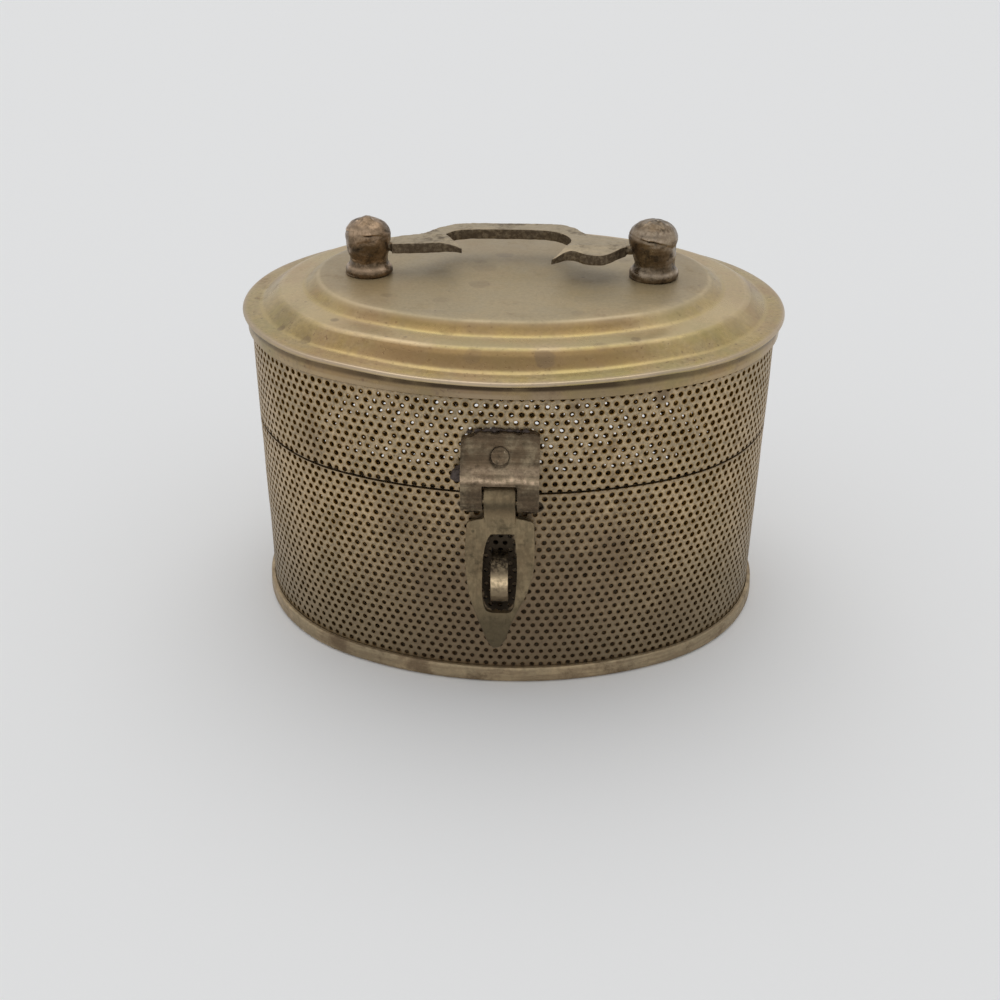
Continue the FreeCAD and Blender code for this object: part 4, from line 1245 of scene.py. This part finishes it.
# The tongue's two edges and its slot, in millimetres from its middle and below the pin
TONGUE_RIGHT = (
    (2.05, 0.0), (2.05, 3.2), (2.35, 3.65), (4.1, 4.05), (4.55, 4.9), (4.68, 8.2), (4.62, 11.2),
    (3.85, 14.4), (2.75, 16.8), (1.7, 19.2), (0.95, 21.6), (0.1, 22.75),
)
TONGUE_LEFT = (
    (-0.7, 22.95), (-1.5, 22.0), (-2.3, 20.0), (-3.1, 18.0), (-4.1, 14.6), (-4.6, 10.0),
    (-4.45, 5.4), (-4.05, 4.2), (-2.3, 3.75), (-2.05, 3.2), (-2.05, 0.0),
)
SLOT_LINE = (
    (-1.15, 5.95), (0.3, 5.9), (1.75, 5.92), (2.0, 6.2), (2.3, 9.0), (2.38, 12.0), (2.2, 15.2),
    (1.85, 17.0), (1.2, 17.48), (0.0, 17.52), (-1.2, 17.45), (-1.9, 16.9), (-2.28, 15.0),
    (-2.3, 12.0), (-2.15, 9.0), (-1.7, 6.9), (-1.15, 5.95),
)
# The neck from the side, in millimetres behind and above the pin
NECK_LINE = (
    (-1.62, 0.0), (-1.55, -0.48), (-1.31, -0.95), (-0.95, -1.5), (-0.52, -2.05), (-0.1, -2.6),
    (0.25, -3.15), (0.5, -3.75), (0.68, -4.35), (0.78, -4.9), (0.82, -5.3), (1.22, -5.3),
    (1.22, 0.0),
)


class PAANBOX_OT_hasp(bpy.types.Operator):
    """Make the hasp plate, its rivet, solder, pin and slotted tongue"""
    bl_idname = "paanbox.hasp"
    bl_label = "Hasp"

    def execute(self, context):
        tones = colours()
        filed = fitting_metal("filed_plate", tones.umber, tones.olive, tones.soot, 3.0,
                              0.45, 0.25, 0.12, 0.40, lines=(0.05, 1.0, 1.0), edge=0.75,
                              edge_and_highlight_colour=(0.76, 0.57, 0.39), strength=0.9)
        grey = fitting_metal("old_solder", (0.075, 0.055, 0.047), (0.095, 0.070, 0.060),
                             tones.soot, 1.5, 0.5, 0.4, 0.2, 0.6, edge=0.2, metallic=0.5,
                             edge_and_highlight_colour=(0.12, 0.09, 0.075), strength=1.0)
        smooth = fitting_metal("tongue_brass", (0.27, 0.205, 0.118), (0.215, 0.155, 0.088),
                               (0.10, 0.078, 0.045), 4.0, 0.5, 0.3, 0.10, 0.42,
                               lines=(1.0, 1.0, 0.3), edge=0.35, edge_and_highlight_colour=(0.44, 0.33, 0.19),
                               strength=0.3, patchy=(0.9, 1.05))
        plate = forged_copy("hasp_plate", "hasp_plate_filed", 0.10, soften=3, hammer=0.05,
                            hammer_size=0.8)
        self.work_plate(plate)
        pin = forged_copy("hasp_pin", "hasp_pin_rod", 0.08, soften=1)
        rivet = forged_copy("hasp_rivet", "hasp_rivet_head", 0.07, hammer=0.03)
        finish_piece(plate, "lid", "hasp_plate", filed)
        finish_piece(pin, "lid", "hasp_pin", filed)
        finish_piece(rivet, "lid", "hasp_rivet", filed)
        finish_piece(self.solder(), "lid", "hasp_solder", grey)
        finish_piece(self.tongue(), "hasp", "hasp_tongue", smooth)
        return {"FINISHED"}

    def solder(self):
        """The bed behind the plate, with a lump run out at its left and a bead over its top."""
        bm = cad_mesh("hasp_solder")
        left = PLATE_LOW.x / MM
        for vert in bm.verts:
            vert.co.x = max(vert.co.x, (left - 0.05) * MM)
        blobs = [((left - 0.1, -31.8, 33.9), (1.2, 1.1, 1.15), 3),
                 ((left - 0.5, -31.4, 33.2), (0.95, 0.8, 0.8), 3)]
        for step in range(24):
            share = step / 23
            size = 0.30 + 0.10 * math.sin(step * 2.3) + 0.06 * math.sin(step * 5.1)
            bulge = 0.40 * math.sin(math.pi * share) ** 0.6 - 0.25
            blobs.append(((left + 0.9 + share * 8.6, WALL_LOW.y / MM - 0.15,
                           PLATE_HIGH.z / MM + bulge - 0.15), (size, size, size), 2))
        for centre, reach, fineness in blobs:
            place = Matrix.Translation(Vector(centre) * MM) @ Matrix.Diagonal((*reach, 1.0))
            bmesh.ops.create_icosphere(bm, subdivisions=fineness, radius=MM, matrix=place)
        return forged(new_piece("hasp_solder_bed", bm), 0.12, soften=3, hammer=0.16,
                      hammer_size=0.7)

    def work_plate(self, plate):
        """Wavy top edge, a ring round the rivet, a painted highlight along the ridge, painted shade
        on the ears.
        """
        rivet = sum(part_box("hasp_rivet"), Vector()) / 2 / MM - Vector((0.05, 0.0, 0.2))
        left, middle = PLATE_LOW.x / MM, (PLATE_LOW.x + PLATE_HIGH.x) / 2 / MM
        top = PLATE_HIGH.z / MM
        for vert in plate.data.vertices:
            x, y, z = vert.co / MM
            across = x - middle
            wave = 0.10 * math.sin(across * 1.9) + 0.06 * math.sin(across * 4.3 + 1.0) - 0.12
            wave -= max(0.0, (-across - 2.6) / 2.5) + 0.4 * max(0.0, (across - 4.0) / 1.1)
            z += wave * clamp((z - RIDGE) / (top - RIDGE)) ** 3
            if y < rivet.y + 0.4:
                y += 0.16 * near(math.dist((x, z), (rivet.x, rivet.z)), 1.10, 0.18)
            z -= 0.38 * clamp((31.0 - z) / 1.2)
            vert.co = Vector((x, y, z)) * MM

        # Painted shade in the ring round the rivet, more at its upper left, and on the ears; dirt
        # and painted shade along the top edge; dirt at the left edge
        def dirt(place, normal):
            x, _, z = place
            arm = Vector((x - rivet.x, z - rivet.z))
            shaded_side = 0.45 + 0.55 * max(0.0, (arm.y - arm.x) / max(1.4 * arm.length, 0.01))
            return max(0.95 * near(arm.length, 1.08, 0.24) * shaded_side, 0.5 * near(z, top, 0.7),
                       0.42 * clamp((RIDGE - 0.8 - z) / 0.8),
                       0.5 * near(x, left, 0.8) * (z > RIDGE + 0.6))

        # Painted highlight along the ridge and just above it
        def worn(place, normal):
            x, _, z = place
            broken = 0.62 + 0.38 * noise.noise(Vector((x / 0.55, 0.0, 4.0)))
            line = near(z, RIDGE + 0.12 * math.sin(x / 0.9), 0.36)
            return (1.2 * line * broken + 0.35 * near(z, RIDGE + 1.1, 0.5)) * max(0.0, -normal.y)

        paint(plate, dirt=dirt, worn=worn)

    def tongue(self):
        """The strip is laid out shut, flat against the wall, then tipped to its rest angle."""
        half = 2.05 * MM
        back = HASP_PIVOT.y + 1.62 * MM

        def lay_out(bm, outline, low, high):
            for vert in add_plate(bm, in_metres(outline), low * MM, high * MM):
                u, drop, depth = vert.co
                vert.co = Vector((HASP_PIVOT.x + u, back - depth, HASP_PIVOT.z - drop))

        bm = bmesh.new()
        lay_out(bm, smooth_path(TONGUE_RIGHT, 2) + smooth_path(TONGUE_LEFT, 2), 0.0, 0.8)
        add_rod(bm, HASP_PIVOT, -half, half, 1.62 * MM, 40)
        wrap = in_metres(NECK_LINE)
        add_prism(bm, *[[HASP_PIVOT + Vector((u, y, z)) for y, z in wrap] for u in (half, -half)])
        piece = forged(new_piece("hasp_tongue_strip", bm), 0.11, soften=3)
        cutter = bmesh.new()
        lay_out(cutter, smooth_path(SLOT_LINE, 3)[:-1], -1.0, 3.5)
        cut_away(piece, new_piece("slot_cutter", cutter))
        drill(piece, HASP_PIVOT, -2 * half, 2 * half, 0.75 * MM, 32)
        to_pivot = Matrix.Translation(HASP_PIVOT)
        piece.data.transform(to_pivot @ Matrix.Rotation(SHUT_ANGLE, 4, "X") @ to_pivot.inverted())
        mark_sharp(piece, 50.0)

        def dirt(place, normal):
            across, _, rise = place - HASP_PIVOT / MM
            fold = near(-rise, 5.0 + 0.12 * math.sin(2.1 * across), 0.12) * near(across, 0.6, 1.3)
            return max(0.95 * clamp((-rise - 14.5) / 5.0), 0.7 * fold, 0.6 * near(-rise, 1.0, 0.9))

        paint(piece, dirt=dirt,
              worn=lambda place, normal: 0.35 * near(HASP_PIVOT.z / MM - place.z, 2.8, 1.1))
        return piece


class PAANBOX_OT_staple(bpy.types.Operator):
    """Make the bent strap that the hasp closes over"""
    bl_idname = "paanbox.staple"
    bl_label = "Staple"

    def execute(self, context):
        piece = forged_copy("staple", "staple_strap", 0.08, soften=4, hammer=0.05, hammer_size=0.7)
        material = fitting_metal("staple_brass", (0.30, 0.23, 0.14), (0.26, 0.19, 0.12),
                                 colours().soot, 2.5, 0.4, 0.3, 0.15, 0.30, edge=0.6,
                                 edge_and_highlight_colour=(0.90, 0.70, 0.44))
        middle = (STAPLE_LOW.z + STAPLE_HIGH.z) / 2 / MM
        # Painted shade on the top of the strap and a painted highlight round its middle
        paint(piece, dirt=lambda place, normal: 0.9 * clamp((place.z - middle - 1.2) / 1.6),
              worn=lambda place, normal: (0.9 * near(place.z, middle + 0.7, 0.8)
                                          * max(0.0, -normal.y)))
        finish_piece(piece, "body", "staple", material)
        return {"FINISHED"}


class PAANBOX_OT_hinge(bpy.types.Operator):
    """Make the back hinge: two leaves, a pin and four rivets"""
    bl_idname = "paanbox.hinge"
    bl_label = "Back Hinge"

    def execute(self, context):
        tones = colours()
        material = fitting_metal("hinge_brass", tones.olive, tones.umber, tones.soot, 4.0,
                                 0.5, 0.3, 0.15, 0.42, lines=(0.06, 1.0, 1.0), edge=0.5)
        for node, name, body, voxel in (("hinge_leaf_body", "body_leaf", "body", 0.10),
                                        ("hinge_leaf_lid", "lid_leaf", "lid", 0.10),
                                        ("hinge_pin", "hinge_pin_rod", "body", 0.09)):
            piece = forged_copy(node, name, voxel, hammer=0.03)
            finish_piece(piece, body, node, material)
        for body, seed in (("body", 3), ("lid", 8)):
            node, name = f"{body}_hinge_rivets", f"{body}_rivets"
            low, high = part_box(node)
            head = (high.z - low.z) / 2
            one = self.rivet((high.y - low.y) / MM, head / MM - 0.03)
            piece = grow(rivet_row, name, {
                "Rivet": one, "Count": 2, "Start": (low.x + head, low.y, (low.z + high.z) / 2),
                "Step": (high.x - low.x - 2 * head, 0.0, 0.0), "Lean": 0.5 * DEG, "Seed": seed,
                "Material": material})
            if len(piece.data.polygons) != 2 * len(one.data.polygons):
                raise RuntimeError(f"{name} came out short")
            bpy.data.objects.remove(one)
            mark_sharp(piece, 40.0)
            finish_piece(piece, body, node, material)
        return {"FINISHED"}

    def rivet(self, long, r):
        """One rivet standing up: spread at its foot, with a domed head."""
        line = ((0.0, 0.05), (0.7, 0.05), (r - 0.05, 0.2), (r, 0.33), (r - 0.12, 0.4), (0.64, 0.41),
                (0.64, long - 0.45), (r - 0.06, long - 0.45), (r, long - 0.36),
                (r - 0.22, long - 0.15), (0.5, long - 0.05), (0.0, long - 0.03))
        return new_piece("one_rivet", lathe(in_metres(line), Vector(), 16))


# ---------------------------------------------------------------- stage

# The camera: place in millimetres, then degrees, then pixels, then millimetres
CAMERA_PLACE = (4.0838, -173.1586, 107.9894)
CAMERA_DIP, CAMERA_TURN, CAMERA_ROLL = 28.839, 1.9335, 0.3108
FOCAL_PIXELS, PICTURE_PIXELS = 1236.99, 1000.0
SENSOR_WIDTH = 36.0


class PAANBOX_OT_stage(bpy.types.Operator):
    """Set the floor, the lamps and the camera"""
    bl_idname = "paanbox.stage"
    bl_label = "Stage"

    def execute(self, context):
        scene = context.scene
        scene.view_settings.view_transform = "Standard"
        self.floor()
        self.world(scene)
        self.lamp()
        self.camera(scene)
        return {"FINISHED"}

    def floor(self):
        bm = bmesh.new()
        bmesh.ops.create_grid(bm, x_segments=1, y_segments=1, size=6000.0 * MM)
        floor = new_piece("floor", bm)
        material, tree = new_material("floor_white")
        feed(tree.nodes["Principled BSDF"], {
            "Base Color": (0.86, 0.86, 0.86), "Roughness": 0.8, "Specular IOR Level": 0.2})
        floor.data.materials.append(material)

    def world(self, scene):
        """A pale room, a little brighter where it is seen than where it lights."""
        world = bpy.data.worlds.new("pale_room")
        scene.world = world
        world.use_nodes = True
        direct = put(world.node_tree, "ShaderNodeLightPath", out="Is Camera Ray")
        seen = calc("MAXIMUM", calc("MAXIMUM", direct, direct.beside("Is Glossy Ray")),
                    direct.beside("Is Transmission Ray"))
        feed(world.node_tree.nodes["Background"], {
            "Color": (0.98, 0.99, 1.0), "Strength": seen * 0.04 + 0.69})

    def lamp(self):
        """One broad soft light overhead, a little behind the box."""
        data = bpy.data.lights.new("overhead", "SUN")
        data.energy, data.angle = 0.60, 56.0 * DEG
        link("overhead", data).rotation_euler = (-20.0 * DEG, -2.0 * DEG, 0.0)

    def camera(self, scene):
        data = bpy.data.cameras.new("camera")
        data.sensor_width = SENSOR_WIDTH
        data.lens = FOCAL_PIXELS / PICTURE_PIXELS * SENSOR_WIDTH
        data.clip_start, data.clip_end = 1.0 * MM, 10.0
        camera = link("camera", data)
        place = Matrix.Translation(Vector(CAMERA_PLACE) * MM)
        for angle, name in ((CAMERA_TURN, "Z"), (90.0 - CAMERA_DIP, "X"), (CAMERA_ROLL, "Z")):
            place = place @ Matrix.Rotation(angle * DEG, 4, name)
        camera.matrix_world = place
        scene.camera = camera


# ---------------------------------------------------------------- panel and running

OPERATORS = (
    PAANBOX_OT_pierced_walls, PAANBOX_OT_base_pan, PAANBOX_OT_cover, PAANBOX_OT_knobs,
    PAANBOX_OT_handle, PAANBOX_OT_hasp, PAANBOX_OT_staple, PAANBOX_OT_hinge, PAANBOX_OT_stage,
)


class PAANBOX_PT_panel(bpy.types.Panel):
    bl_idname = "PAANBOX_PT_panel"
    bl_label = "Paan Box"
    bl_space_type = "VIEW_3D"
    bl_region_type = "UI"
    bl_category = "Paan Box"

    def draw(self, context):
        for group in (sizes(), colours()):
            for key in group.bl_rna.properties.keys():
                if key not in ("rna_type", "name"):
                    self.layout.prop(group, key)
        for operator in OPERATORS:
            self.layout.operator(operator.bl_idname)


CLASSES = (PaanBoxSizes, PaanBoxColours) + OPERATORS + (PAANBOX_PT_panel,)


def register():
    for entry in CLASSES:
        bpy.utils.register_class(entry)
    bpy.types.Scene.paan_box_sizes = bpy.props.PointerProperty(type=PaanBoxSizes)
    bpy.types.Scene.paan_box_colours = bpy.props.PointerProperty(type=PaanBoxColours)


def unregister():
    del bpy.types.Scene.paan_box_colours
    del bpy.types.Scene.paan_box_sizes
    for entry in reversed(CLASSES):
        bpy.utils.unregister_class(entry)


def main():
    register()
    for operator in OPERATORS:
        group, name = operator.bl_idname.split(".")
        getattr(getattr(bpy.ops, group), name)()


if __name__ == "__main__":
    main()
